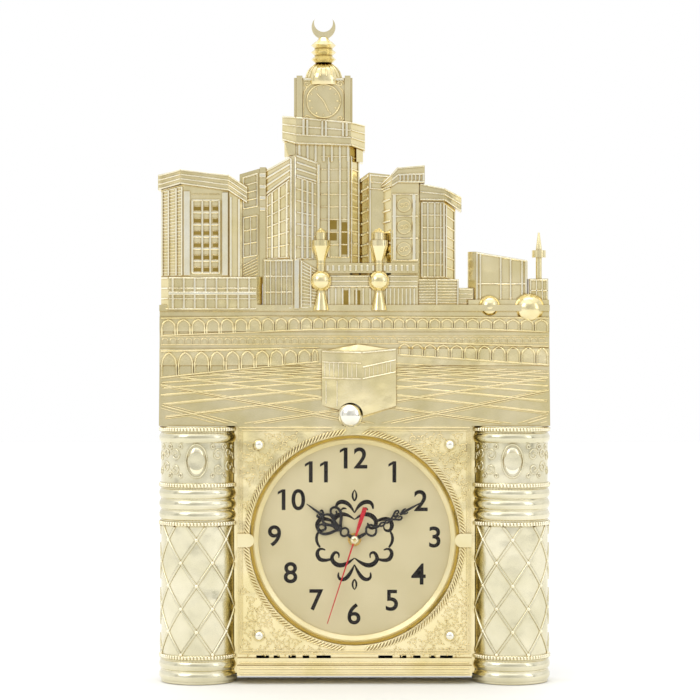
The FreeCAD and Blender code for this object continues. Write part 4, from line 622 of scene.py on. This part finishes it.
def pointedArch(left, right, spring, crown):
    # two arcs of sixty degrees, each struck from the other pillar
    span = right - left
    steps = [radians(180 - 15 * i) for i in range(5)]
    rise = (crown - spring) / sin(steps[-1])
    half = [(right + span * cos(a), spring + rise * sin(a)) for a in steps]
    return half + [(left + right - side, height) for side, height in reversed(half)]


def arcadePiece(name, top, bottom, pitch, sides, line=0.75, gap=0.8):
    # arches on pillars, wider towards the sides of the court
    near, far = pitch
    lines = []
    side = sides[0]
    while side < sides[1] - near / 2:
        step = min(near + (far - near) * abs(side - court["middle"]) / court["spread"], sides[1] - side)
        left, right = side + gap, side + step - gap
        low, high = lineAt(bottom, side + step / 2), lineAt(top, side + step / 2)
        spring = low + (high - low) * 0.5
        arch = pointedArch(left, right, spring, high - court["crownGap"])
        lines.append([onCourt(*spot) for spot in arch])
        for post in (left, right):
            lines.append([onCourt(*spot) for spot in evenly((post, low), (post, spring), 2)])
        side += step
    for edge in (top, bottom):
        lines.append([onCourt(s, lineAt(edge, s)) for s, in evenly(sides[:1], sides[1:], 24)])
    strokePiece(name, lines, line, gold)


for name, arcade in arcades.items():
    arcadePiece(name, **arcade)
print("arcades standing")

paving = {
    "horizon": 258, "vanish": 330, "foot": 193, "pitch": 106, "shift": 18, "reach": 9, "line": 0.6,
    "inner": 0.38, "shrink": 0.84, "lowest": 194.5, "cube": (-23, 6, 30), "cubeFoot": 204, "cubeLean": 0.22,
}


def pavedSpot(leftFoot, rightFoot):
    # where the line from one foot point to the left vanishing point meets the other family's line
    rise, vanish = paving["horizon"] - paving["foot"], paving["vanish"]
    share = (rightFoot - leftFoot) / (2 * vanish + rightFoot - leftFoot)
    return rightFoot + (-vanish - rightFoot) * share, paving["foot"] + rise * share


def pavedLine(start, end):
    # the points of a straight line that lie on the open floor, in unbroken runs
    runs, run = [], []
    left, corner, right = paving["cube"]
    for side, height in evenly(start, end, 14):
        hem = arcades["lowerArcadeLeft"] if side < 3 else arcades["lowerArcadeRight"]
        cube = left < side < right and height > paving["cubeFoot"] + paving["cubeLean"] * abs(side - corner)
        inside = abs(side) < court["edge"] and paving["lowest"] < height < lineAt(hem["bottom"], side) - 1
        if inside and not cube:
            run.append(onCourt(side, height))
        elif run:
            runs.append(run)
            run = []
    return [r for r in runs + [run] if len(r) > 2]


def pavingPiece():
    # square flags seen in perspective, each with a raised edge and a fine line inside it
    edges, insets = [], []
    pitch, reach = paving["pitch"], paving["reach"]
    for i in range(-reach, reach):
        for j in range(i, reach):
            feet = [(i, j), (i + 1, j), (i + 1, j + 1), (i, j + 1)]
            corners = [pavedSpot(paving["shift"] + a * pitch, paving["shift"] + b * pitch) for a, b in feet]
            if all(abs(side) > court["edge"] for side, height in corners):
                continue
            middle = [sum(c[k] for c in corners) / 4 for k in (0, 1)]
            small = [[middle[k] + (c[k] - middle[k]) * paving["shrink"] for k in (0, 1)] for c in corners]
            for start, end in ((0, 1), (1, 2)):
                edges += pavedLine(corners[start], corners[end])
            for start, end in ((0, 1), (1, 2), (2, 3), (3, 0)):
                insets += pavedLine(small[start], small[end])
    strokePiece("courtPaving", edges, paving["line"], gold)
    strokePiece("courtFlags", insets, paving["inner"], gold)


pavingPiece()
print("court paved")

# The two columns: a raised diamond net, rows of beads, and scrolls round the oval boss
columns = {
    "centre": 118, "axisDepth": 17, "radius": 28.5,
    "netHeights": (21.9, 117.6), "netTurn": 49, "netRise": 17.2, "netLine": 1.1, "netKnot": 1.6,
    "netEdge": 94,
    "beadHeights": (19.7, 119.7, 148.5, 190.4), "beadPitch": 2.6, "beadSize": (1.35, 2), "beadRadius": 29.6,
    "beadSunk": 0.4, "beadEdge": 92,
    "bossHeight": 167, "bossDepth": 44.1, "bossSize": (6.4, 2.9, 11.3), "bossRing": (7.9, 12.5),
    "webSides": (88.1, 90.8), "webDepths": (21, 26.5), "webHeights": (6.5, 192.5),
    # side and height from the boss, size and winding
    "scrolls": [(17, 4.5, 5.2, 1), (17.5, -6, 4.6, -1), (27, 6, 4.4, -1), (27.5, -4.5, 5, 1), (36, 3, 4.6, 1),
                (36.5, -7.5, 3.6, -1), (22.5, 10.2, 2.6, 1), (32, 10.6, 2.4, -1), (22.5, -10.6, 2.4, -1),
                (12.5, 11, 2, -1), (12.5, -11, 2, 1)],
}


def onColumn(hand, turn, height, proud=0.0):
    side, depth = clockSpot(hand * columns["centre"], columns["axisDepth"], columns["radius"] + proud,
                            radians(turn))
    return at(side, depth, height)


def columnNet(hand):
    pitch, rise = columns["netTurn"], columns["netRise"]
    low, high = columns["netHeights"]
    lines, knots = [], []
    for lean in (-1, 1):
        for start in spaced(-11.5 * pitch, pitch, 24):
            spots = [(start + lean * pitch / 2 * (height - low) / rise, height)
                     for height, in evenly((low,), (high,), 28)]
            points = [onColumn(hand, *spot) for spot in spots if abs(spot[0]) <= columns["netEdge"]]
            if len(points) > 2:
                lines.append(points)
    for row in range(6):
        first = -2 * pitch + (0 if row % 2 else pitch / 2)
        turns = [turn for turn in spaced(first, pitch, 5) if abs(turn) < 90]
        knots += [onColumn(hand, turn, low + row * rise) for turn in turns]
    return lines, knots


def beads(bm, spots, sizes, level=1):
    wide, tall = [size / 1000 for size in sizes]
    for spot in spots:
        place = Matrix.Translation(spot) @ Matrix.Diagonal((wide, wide, tall, 1))
        bmesh.ops.create_icosphere(bm, subdivisions=level, radius=1, matrix=place)


def spiral(turns, size, tightness=0.78, points=14, hand=1):
    # a scroll that winds in: side and height offsets with a thickness share
    line = []
    for i in range(points):
        share = i / (points - 1)
        reach = size * (1 - tightness * share)
        angle = hand * turns * 2 * pi * share
        line.append((reach * cos(angle), reach * sin(angle), 1.1 - 0.5 * abs(2 * share - 1)))
    return line


def columnScrolls(hand):
    boss, radius = columns["bossHeight"], columns["radius"]
    wide, tall = columns["bossRing"]
    angles = [2 * pi * i / 24 for i in range(25)]
    lines = [[onColumn(hand, degrees(wide * cos(a) / radius), boss + tall * sin(a), 0.1) for a in angles]]
    for flip in (-1, 1):
        for side, height, size, wind in columns["scrolls"]:
            low = boss + height
            lines.append([(*onColumn(hand, degrees(flip * (side + s) / radius), low + h), share)
                          for s, h, share in spiral(1.35, size, hand=wind)])
    return lines


def bossAndWeb(label, hand):
    # the swelling oval on the column, and the plated web that closes the gap beside the dial's surround
    bm = bmesh.new()
    spot = Matrix.Translation(at(hand * columns["centre"], columns["bossDepth"], columns["bossHeight"]))
    size = Matrix.Diagonal((*[s / 1000 for s in columns["bossSize"]], 1))
    bmesh.ops.create_uvsphere(bm, u_segments=36, v_segments=20, radius=1, matrix=spot @ size)
    finishPiece("columnBoss_" + label, bm, paintedHighlightGold)
    bm = bmesh.new()
    sides = sorted(hand * side for side in columns["webSides"])
    addBox(bm, sides, columns["webDepths"], columns["webHeights"])
    finishPiece("columnWeb_" + label, bm, gold, smooth=False)


def columnBeads(label, hand, knots):
    bm = bmesh.new()
    beads(bm, knots, (columns["netKnot"], columns["netKnot"]), 2)
    pitch = degrees(columns["beadPitch"] / columns["beadRadius"])
    turns = spaced(-columns["beadEdge"], pitch, int(2 * columns["beadEdge"] / pitch) + 1)
    proud = columns["beadRadius"] - columns["radius"] - columns["beadSunk"]
    for height in columns["beadHeights"]:
        beads(bm, [onColumn(hand, turn, height, proud) for turn in turns], columns["beadSize"])
    finishPiece("columnBeads_" + label, bm, paintedHighlightGold)


for label, hand in (("left", -1), ("right", 1)):
    net, knots = columnNet(hand)
    strokePiece("columnNet_" + label, net, columns["netLine"], paleGold)
    strokePiece("columnScrolls_" + label, columnScrolls(hand), 0.75, paleGold, turns=2)
    columnBeads(label, hand, knots)
    bossAndWeb(label, hand)
print("columns dressed")

# The square round the dial: scrollwork in the corners, a rope round the opening and a plain border
surround = {
    "centre": 107, "front": 34, "half": 88, "low": 20.8, "high": 193, "opening": 79,
    "seed": 11, "cell": 6.4, "stagger": 0.25, "jitter": 0.7, "scrolls": (2.5, 3.6), "leafReach": 3.4,
    "leaf": (1.5, 0.6, 0.6), "margin": 4.6, "ringMargin": 7.4, "stud": 71.7, "studMargin": 7, "clip": (73, 8),
    "ropeRadius": 81.6, "ropeInner": 1.9, "ropePitch": 2.7, "ropeWidth": 3.81, "ropeLean": 0.018,
    "ropeBulge": 0.35, "ropeGap": 0.085, "borders": (1.3, 3.4), "buttonGap": (-17, 11),
    "plinthLines": ((37, 15.6), (40, 11.4), (40, 7.6)), "plinthHalf": 86,
}


def isPlain(side, height):
    # the rim, the ring, the studs and the clips have no carving
    up, margin = abs(height - surround["centre"]), surround["margin"]
    inside = abs(side) < surround["half"] - margin and height < surround["high"] - margin
    ring = hypot(side, up) < surround["opening"] + surround["ringMargin"]
    stud = hypot(abs(side) - surround["stud"], up - surround["stud"]) < surround["studMargin"]
    clip = abs(side) > surround["clip"][0] and up < surround["clip"][1]
    return not inside or ring or stud or clip


def surroundScrolls():
    dice = random.Random(surround["seed"])
    lines, leaves = [], []
    cell, jitter = surround["cell"], surround["jitter"]
    rows = int(2 * surround["half"] / cell)
    for i in range(rows):
        for j in range(rows):
            stagger = surround["stagger"] * (j % 2)
            side = -surround["half"] + cell * (i + 0.5 + stagger) + dice.uniform(-jitter, jitter)
            height = surround["low"] + cell * (j + 0.5) + dice.uniform(-jitter, jitter)
            start, wind, size = dice.uniform(0, 360), dice.choice((-1, 1)), dice.uniform(*surround["scrolls"])
            if isPlain(side, height):
                continue
            turned = Matrix.Rotation(radians(start), 2)
            points = []
            for s, h, share in spiral(1.15, size, 0.8, 11, wind):
                moved = turned @ Vector((s, h))
                points.append((*at(side + moved.x, surround["front"], height + moved.y), share))
            lines.append(points)
            reach = surround["leafReach"]
            for angle in [radians(start + 120 * k + 60) for k in range(3)]:
                leaves.append((side + reach * cos(angle), height + reach * sin(angle), angle))
    return lines, leaves


def leafPiece(name, leaves, size):
    bm = bmesh.new()
    for side, height, angle in leaves:
        turned = Matrix.Rotation(-angle, 4, "Y")
        shaped = Matrix.Diagonal((size[0] / 1000, size[2] / 1000, size[1] / 1000, 1))
        place = Matrix.Translation(at(side, surround["front"], height)) @ turned @ shaped
        bmesh.ops.create_icosphere(bm, subdivisions=1, radius=1, matrix=place)
    return finishPiece(name, bm, gold)


def ropeLines():
    # slanting strands with a low back, left out at the top and the foot of the ring
    lines = []
    count = int(2 * pi * surround["ropeRadius"] / surround["ropePitch"])
    for angle in [2 * pi * i / count for i in range(count)]:
        if abs(sin(angle)) < surround["ropeGap"]:
            continue
        points = []
        for k in range(4):
            reach = surround["ropeRadius"] - surround["ropeInner"] + surround["ropeWidth"] / 3 * k
            bulge = surround["ropeBulge"] if k in (1, 2) else 0
            side, height = clockSpot(0, surround["centre"], reach, angle + surround["ropeLean"] * (k - 1.5))
            points.append(at(side, surround["front"] + bulge, height))
        lines.append(points)
    return lines


def borderLines():
    # two fine lines along the edge, broken at the top where the push button comes down
    lines = []
    for inset in surround["borders"]:
        side, low, high = surround["half"] - inset, surround["low"] + inset, surround["high"] - inset
        for hand, stop in zip((-1, 1), surround["buttonGap"]):
            path = [(0, low), (hand * side, low), (hand * side, high), (stop, high)]
            for start, end in zip(path, path[1:]):
                lines.append([at(s, surround["front"], h) for s, h in evenly(start, end, 3)])
    return lines


def plinthLines():
    half = surround["plinthHalf"]
    return [[at(*spot) for spot in evenly((-half, depth, height), (half, depth, height), 4)]
            for depth, height in surround["plinthLines"]]


scrolls, leaves = surroundScrolls()
strokePiece("surroundScrolls", scrolls, 0.55, gold)
leafPiece("surroundLeaves", leaves, surround["leaf"])
strokePiece("surroundRope", ropeLines(), 0.75, gold)
strokePiece("surroundBorder", borderLines(), 0.6, gold)
strokePiece("plinthLines", plinthLines(), 0.7, gold)
print("surround carved")

# The dial: plain printed hours, and a symmetrical printed arabesque in the middle
dial = {
    "front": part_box("dial_plate")[0].y * -1000, "ink": 0.06, "numeralHeight": 16, "weight": 0.34,
    "hours": {
        12: (0.8, 168.5), 1: (30.1, 158), 2: (50.1, 136.3), 3: (60.6, 108.8), 4: (48.3, 80.9), 5: (28.2, 61),
        6: (-0.4, 50.8), 7: (-28.8, 61.4), 8: (-48.3, 81.9), 9: (-60.4, 109.7), 10: (-46.1, 137),
        11: (-27.3, 158),
    },
}
# The built-in font: its size over the height of a figure, and the flag that its bare 1 gets on a 16 mm figure
font = {"share": 1.372, "spacing": 1.02, "flag": (3.3, 2.1), "flagRise": 1.9, "flagPlace": (1.35, 2.15)}


def addFlags(mesh, digits, edges, top, scale, thick):
    starts = [edges[0]] if digits[0] == "1" else []
    if digits == "11":
        starts.append(edges[-2])
    wide, tall = [size / scale for size in font["flag"]]
    back, down = [size / scale for size in font["flagPlace"]]
    bm = bmesh.new()
    bm.from_mesh(mesh)
    for start in starts:
        slant = Matrix(((wide, 0, 0), (font["flagRise"] / scale, tall, 0), (0, 0, thick * 0.9))).to_4x4()
        slant.translation = (start - back, top - down, 0)
        bmesh.ops.create_cube(bm, size=1, matrix=slant)
    bm.to_mesh(mesh)
    bm.free()


def numeral(name, number, place, tall, weight, thick, material, turned=0):
    # a plain number as flat ink, with its middle at the place, that faces the front or, turned, the back
    text = bpy.data.curves.new(name, "FONT")
    text.body = str(number)
    text.size = tall * font["share"]
    text.align_x, text.align_y = "CENTER", "CENTER"
    text.space_character = font["spacing"]
    text.offset = weight
    text.extrude = thick / 2
    mesh = meshOf(name, text)
    xs = [v.co.x for v in mesh.vertices]
    ys = [v.co.y for v in mesh.vertices]
    middle = Vector(((min(xs) + max(xs)) / 2, (min(ys) + max(ys)) / 2, 0))
    grow = tall / (max(ys) - min(ys))
    edges = sorted({round(x, 2) for x in xs})
    addFlags(mesh, text.body, edges, max(ys), grow * dial["numeralHeight"] / tall, thick)
    stand = Matrix.Rotation(radians(turned), 4, "Z") @ Matrix.Rotation(pi / 2, 4, "X")
    scaled = Matrix.Diagonal((grow / 1000, grow / 1000, 0.001, 1)) @ Matrix.Translation(-middle)
    mesh.transform(Matrix.Translation(place) @ stand @ scaled)
    return finishPiece(name, mesh, material, smooth=False)


inkDepth = dial["front"] + dial["ink"] / 2
for number, (side, height) in dial["hours"].items():
    numeral("hour_%02d" % number, number, at(side, inkDepth, height), dial["numeralHeight"], dial["weight"],
            dial["ink"], printInk)

# Half of the arabesque, as side, height and thickness share: pairs of scrolls, a stem and a crown that are
# mirrored about the middle and unlike any writing
arabesque = {"width": 1.25, "half": [
    [(0, 15, 0.3), (5, 19, 1), (12, 19, 1.5), (17, 14, 1.3), (15, 8, 1), (10, 9, 0.8), (10, 12.6, 0.4)],
    [(0, 20, 0.3), (3, 26, 1.1), (9, 29, 1.4), (14, 27, 1), (14, 23, 0.5)],
    [(17, 14, 0.8), (24, 17, 1.3), (29, 12, 1.3), (27, 6, 1), (22, 7, 0.6), (22, 10, 0.3)],
    [(0, -14, 0.3), (6, -19, 1.2), (13, -20, 1.5), (18, -15, 1.2), (15, -9, 0.9), (11, -11, 0.6),
     (12, -14, 0.3)],
    [(0, -19, 0.3), (3, -26, 1.2), (8, -31, 1.2), (13, -29, 0.8), (12, -25, 0.4)],
    [(18, -15, 0.7), (25, -17, 1.3), (29, -11, 1.2), (26, -6, 0.8), (22, -8, 0.4)],
    [(27, 6, 0.6), (31, 0, 1.2), (26, -6, 0.6)],
    [(0, 29, 0.4), (3, 33, 0.9), (0, 37.5, 0.2)],
    [(0, -30, 0.4), (3, -34, 0.9), (0, -38, 0.2)],
    [(6, 23, 0.3), (9, 24.4, 1), (10, 22, 0.3)],
]}


def printArabesque():
    # brush strokes pressed to the thickness of the ink
    strokes = [[(flip * side, height, share) for side, height, share in stroke]
               for flip in (-1, 1) for stroke in arabesque["half"]]
    piece = flatPiece("dialArabesque", strokes, arabesque["width"], printInk, "root")
    standUp(piece, at(0, inkDepth, surround["centre"]), dial["ink"] / 2 / arabesque["width"])


printArabesque()
print("dial printed")

# The hands: pressed openwork, drawn along the hand from the middle of the dial and mirrored about its line
hands = {
    "hour": dict(turn=306.8, depths=(26.7, 27.2), width=0.9, single=[
        [(1.9, 0, 1.6), (4, 0, 1.7), (6.4, 0, 1.2)], [(12.4, 0, 0.8), (17, 0, 1.1), (22, 0, 0.7)],
        [(28.6, 0, 0.8), (31, 0, 1.9), (33, 0, 0.9), (37, 0, 1.1), (45, 0, 0.3)],
    ], double=[
        [(6.2, 0, 0.9), (7.2, 2.6, 0.9), (9.4, 3.3, 0.9), (11.6, 2.6, 0.9), (12.6, 0, 0.9)],
        [(12.4, 0.4, 1), (15, 2, 1.2), (17.6, 7, 1.3), (21, 11, 1.2), (26, 11.6, 1.1), (28.4, 8.4, 1),
         (26.6, 5, 0.9), (23, 5, 0.9), (21.8, 7.8, 0.9), (24.2, 9, 0.8)],
        [(15.4, 1, 0.9), (20, 1.4, 1.3), (25, 4.4, 1.2), (28.6, 2.6, 1), (30.6, 0, 0.8)],
        [(29.6, 0.3, 0.9), (31.4, 2.6, 1), (33.8, 3.2, 0.8), (33.2, 1.2, 0.6)],
    ]),
    "minute": dict(turn=60.8, depths=(27.8, 28.3), width=0.8, single=[
        [(1.2, 0, 1.8), (5, 0, 1.9), (10.4, 0, 1.2)], [(18.4, 0, 1.1), (20, 0, 1.4), (22, 0, 1)],
        [(43.4, 0, 1), (46, 0, 1.3), (52, 0, 0.9), (59, 0, 0.3)], [(39, 0, 1), (41.4, 0, 2), (43.8, 0, 1)],
    ], double=[
        [(10.2, 0, 1), (11.4, 3.2, 1.1), (14.4, 4.5, 1.1), (17.4, 3.2, 1.1), (18.6, 0, 1)],
        [(21.4, 0, 0.9), (23.6, 2.4, 1), (26.6, 0, 0.9)], [(26, 0, 0.9), (28.6, 2.2, 1), (31.6, 0, 0.9)],
        [(31, 0, 0.9), (34, 1.2, 1), (37.4, 4, 1), (39.8, 3, 0.8), (38.8, 1, 0.7), (36.6, 1.8, 0.5)],
        [(34.4, 0.6, 0.9), (38, 0, 1)], [(41, 0.4, 0.8), (43.4, 2.4, 1), (45.4, 1.4, 0.6)],
    ]),
}


def openworkHand(body, turn, depths, width, single, double):
    drawn = [[(v, u, share) for u, v, share in line] for line in single + double]
    drawn += [[(-v, u, share) for u, v, share in line] for line in double]
    piece = flatPiece(body + "HandOpenwork", drawn, width, blackPaint, body, 2)
    thickest = max(abs(v.co.z) for v in piece.data.vertices)
    low, high = depths
    standUp(piece, at(0, (low + high) / 2, surround["centre"]), (high - low) / 2000 / thickest, turn)
    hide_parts(body + "_hand")


for body, hand in hands.items():
    openworkHand(body, **hand)
print("hands cut")

# The clock tower: an arch and a ring round its little face, and a ribbed dome
tower = {
    "side": -23.3, "faceHeight": 437.5, "faceRadius": 13.2, "front": 29.8, "ticks": (9.6, 10.4, 11.2),
    "hands": (((0, 0), (-2.6, 3), (-5, 5.6)), ((0, 0), (2, -4), (3.8, -8))),
    "archFront": 29, "archReach": (15.4, 12.6), "archRise": 3, "archFoot": 422, "knots": (12.6, 13),
    "domeHeight": 454, "domeRadius": 13.7, "domeDepth": 20,
    "bracket": ((-53.2, -44.2), (20, 27), (396.4, 407)), "bracketTaper": 3,
}


def circleLine(side, depth, height, radius, points=32, flat=False):
    angles = [2 * pi * i / points for i in range(points + 1)]
    if flat:
        return [at(*clockSpot(side, depth, radius, a), height) for a in angles]
    spots = [clockSpot(side, height, radius, a) for a in angles]
    return [at(s, depth, h) for s, h in spots]


def towerLines():
    side, height, front = tower["side"], tower["faceHeight"], tower["front"]
    lines = [circleLine(side, front, height, tower["faceRadius"] - 0.6)]
    for turn in range(0, 360, 30):
        spots = [clockSpot(side, height, reach, radians(turn)) for reach in tower["ticks"]]
        lines.append([at(s, front, h) for s, h in spots])
    for hand in tower["hands"]:
        lines.append([at(side + s, front + 0.2, height + h) for s, h in hand])
    (wide, tall), rise, depth = tower["archReach"], tower["archRise"], tower["archFront"]
    arch = [(wide, tower["archFoot"] - height)]
    for angle in [radians(a) for a in range(0, 181, 15)]:
        arch.append((wide * cos(angle), rise + tall * sin(angle)))
    arch.append((-wide, tower["archFoot"] - height))
    lines.append([at(side + s, depth, height + h) for s, h in arch])
    for flip in (-1, 1):
        for corner in (1, -1):
            left, low = side + flip * tower["knots"][0], height + corner * tower["knots"][1]
            knot = spiral(1.3, 2.6, hand=flip * corner)
            lines.append([at(left + s, depth, low + h) for s, h, share in knot])
    return lines


def domeRibs():
    lines = []
    for turn in [radians(a) for a in range(-90, 91, 20)]:
        points = []
        for lift in [radians(8 + 10.5 * i) for i in range(8)]:
            reach = tower["domeRadius"] * cos(lift)
            up = tower["domeRadius"] * sin(lift)
            spot = clockSpot(tower["side"], tower["domeDepth"], reach, turn)
            points.append(at(*spot, tower["domeHeight"] + up))
        lines.append(points)
    return lines


def galleryBracket():
    # the bracket under the left end of the gallery, narrower at its foot
    bm = bmesh.new()
    verts = addBox(bm, *tower["bracket"])
    middle = sum((vert.co for vert in verts), Vector()) / 8
    for vert in verts:
        if vert.co.z < middle.z and vert.co.x < middle.x:
            vert.co.x += tower["bracketTaper"] / 1000
    finishPiece("galleryBracket", bm, gold, smooth=False, bevel=0.5)


strokePiece("towerFaceRing", towerLines(), 0.5, gold, turns=2)
galleryBracket()
strokePiece("towerDomeRibs", domeRibs(), 0.55, gold)

medals = {"side": 37.3, "heights": (326, 342.6, 359.2), "radius": 4.9, "front": 28.6, "gap": 1.6}


def medalLines():
    side, front, gap = medals["side"], medals["front"], medals["gap"]
    lines = []
    for height in medals["heights"]:
        lines.append(circleLine(side, front - 0.3, height, medals["radius"]))
        for flip in (-1, 1):
            petal = spiral(1.2, 2.1, hand=flip)
            lines.append([at(side + flip * (gap + s), front, height + h) for s, h, share in petal])
    return lines


strokePiece("medalRings", medalLines(), 0.4, gold)

minarets = {
    "sides": (-25.2, 18.4), "depth": 29.2, "radius": 3, "collars": (288, 296.4, 308.4, 315, 322, 333, 338),
}


def minaretLines():
    return [circleLine(side, minarets["depth"], height, minarets["radius"], 20, flat=True)
            for side in minarets["sides"] for height in minarets["collars"]]


strokePiece("minaretCollars", minaretLines(), 0.45, gold)
print("towers trimmed")

# The back: plain white marks beside the controls, and an arrow on the battery door
back = {
    "ink": 0.03, "line": 0.45, "volume": (-63, 171), "volumeReach": 8.4, "sweep": 130, "signs": (9.6, 1.5),
    "buttons": (-64, 144.6), "buttonPitch": 9, "numeral": 3.2, "weight": 0.03, "signLift": 0.6,
    "door": (48, 60), "doorFace": 0.3, "arrow": 16, "arrowHead": 4.5,
}


def flatMarks(name, lines, depth, body="root"):
    # strokes laid flat on a face that looks backwards
    piece = flatPiece(name, lines, back["line"], whitePlastic, body)
    standUp(piece, at(0, depth - back["ink"] / 2, 0), back["ink"] / 2 / back["line"])


def volumeMarks():
    # an arc that swells towards loud, a minus at its quiet end and a plus at its loud end
    (side, height), sweep, (out, half) = back["volume"], back["sweep"], back["signs"]
    arc = [(*clockSpot(side, height, back["volumeReach"], radians(a)), 0.4 + (a + sweep) / 200)
           for a in range(-sweep, sweep + 1, 20)]
    low = height - back["volumeReach"] + back["signLift"]
    bars = ((out, half, 0), (-out, half, 0), (out, 0, half))
    return [arc] + [[(side + s + k * wide, low + k * tall, 0.8) for k in (-1, 0, 1)]
                    for s, wide, tall in bars]


def doorMarks():
    side, height = back["door"]
    low, head = height - back["arrow"], back["arrowHead"]
    shaft = [(side, height, 1.2), (side, (height + low) / 2, 1.2), (side, low, 1.2)]
    return [shaft] + [[(side + hand * head, low + head, 1.2), (side, low, 1.2)] for hand in (-1, 1)]


flatMarks("volumeMarks", volumeMarks(), 0)
flatMarks("doorArrow", doorMarks(), back["doorFace"], "battery_door")
for spot, number in enumerate((3, 2, 1)):
    place = at(back["buttons"][0] + spot * back["buttonPitch"], -back["ink"] / 2, back["buttons"][1])
    numeral("buttonNumber_%d" % number, number, place, back["numeral"], back["weight"], back["ink"],
            whitePlastic, 180)
print("back marked")

# Studio: pale floor, white surroundings, soft boxes, and a dimmer zone behind the camera
studio = {
    "floorSize": 9, "floorGap": 0.0004, "cameraDistance": 1.8, "subjectFront": 0.03, "fieldWidth": 0.527,
    "sensor": 36, "cameraSide": -0.0034, "cameraHeight": 0.005, "front": 0.71, "roof": 1.4,
    "tent": ((0.04, 0.74), (0.12, 0.92), (0.26, 0.98), (0.3, 0.55), (0.34, 0.55), (0.38, 1), (0.6, 1)),
    "patch": (0.85, -0.5, 0.02), "patchSize": (0.16, 0.36),
    # place, size and power of each lamp
    "lamps": {
        "keyLeft": ((-1.3, -1.2, 1.1), (0.9, 0.9), 5),
        "fillRight": ((1.4, -0.9, 0.5), (0.5, 1.1), 2),
        "topStrip": ((0, -0.2, 1.6), (1.4, 0.3), 2),
    },
}


def makeFloor():
    bm = bmesh.new()
    bmesh.ops.create_grid(bm, x_segments=1, y_segments=1, size=studio["floorSize"] / 2,
                          matrix=Matrix.Translation((0, 0, footHeight / 1000 - studio["floorGap"])))
    mesh = meshFrom("floor", bm)
    floor = bpy.data.objects.new("floor", mesh)
    scene.collection.objects.link(floor)
    made, tree, place, surface = newMaterial("palePaintedFloor", Roughness=0.7)
    toned(tree, place, surface, 300, "F6F5F1", "FAF9F6")
    mesh.materials.append(made)


def makeWorld():
    # brightness by direction only: a bright tent with a dimmer front, dark gaps at the sides and a dark patch
    world = bpy.data.worlds.new("whiteStudio")
    scene.world = world
    world.use_nodes = True
    tree = world.node_tree
    tree.nodes.clear()
    place = addNode(tree, "TexCoord").outputs["Generated"]
    axes = addNode(tree, "SeparateXYZ", {"Vector": place})
    across = addNode(tree, "MapRange", {"Value": axes.outputs["Y"]}, {"From Min": -1, "From Max": 1})
    tent = addNode(tree, "ValToRGB", {"Fac": across})
    levels = ((0, studio["front"]), (1, 1), *studio["tent"])
    setStops(tent, [(spot, grey(level)) for spot, level in levels])
    wide = addNode(tree, "TexNoise", {"Vector": place}, {"Scale": 2.1, "Detail": 1})
    drift = addNode(tree, "MapRange", {"Value": wide},
                    {"From Min": 0.35, "From Max": 0.65, "To Min": 0.85, "To Max": 1.1})
    behind = addNode(tree, "Math", {0: axes.outputs["Y"]}, {1: 0.35}, operation="GREATER_THAN")
    even = addNode(tree, "Mix", {"Factor": behind, "A": drift}, {"B": 1.0})
    roof = addNode(tree, "MapRange", {"Value": axes.outputs["Z"]},
                   {"From Min": 0.3, "From Max": 0.7, "To Max": studio["roof"]})
    walls = addNode(tree, "Math", {0: tent, 1: roof}, operation="MAXIMUM")
    light = addNode(tree, "Math", {0: walls, 1: even}, operation="MULTIPLY")
    patch = addNode(tree, "VectorMath", {0: place}, {1: studio["patch"]}, operation="SUBTRACT")
    squeezed = addNode(tree, "VectorMath", {0: patch}, {1: (1, 1, 3.4)}, operation="MULTIPLY")
    far = addNode(tree, "VectorMath", {0: squeezed}, operation="LENGTH")
    inner, outer = studio["patchSize"]
    shade = addNode(tree, "MapRange", {"Value": far.outputs["Value"]},
                    {"From Min": inner, "From Max": outer, "To Min": 0.2})
    level = addNode(tree, "Math", {0: light, 1: shade}, operation="MULTIPLY")
    lit = addNode(tree, "Background", {"Strength": level}, {"Color": grey(1)})
    addNode(tree, "OutputWorld", links={"Surface": lit})


def softBox(name, place, size, power):
    light = bpy.data.lights.new(name, "AREA")
    light.shape = "RECTANGLE"
    light.size, light.size_y = size
    light.energy = power
    lamp = bpy.data.objects.new(name, light)
    scene.collection.objects.link(lamp)
    lamp.location = place
    lamp.rotation_euler = (-Vector(place)).to_track_quat("-Z", "Y").to_euler()


def makeCamera():
    camera = bpy.data.cameras.new("camera")
    camera.sensor_width = studio["sensor"]
    reach = studio["cameraDistance"] - studio["subjectFront"]
    camera.lens = studio["sensor"] * reach / studio["fieldWidth"]
    held = bpy.data.objects.new("camera", camera)
    scene.collection.objects.link(held)
    held.location = (studio["cameraSide"], -studio["cameraDistance"], studio["cameraHeight"])
    held.rotation_euler = (pi / 2, 0, 0)
    scene.camera = held


makeFloor()
makeWorld()
for name, lamp in studio["lamps"].items():
    softBox(name, *lamp)
makeCamera()
scene.view_settings.view_transform = "Standard"
print("studio lit")
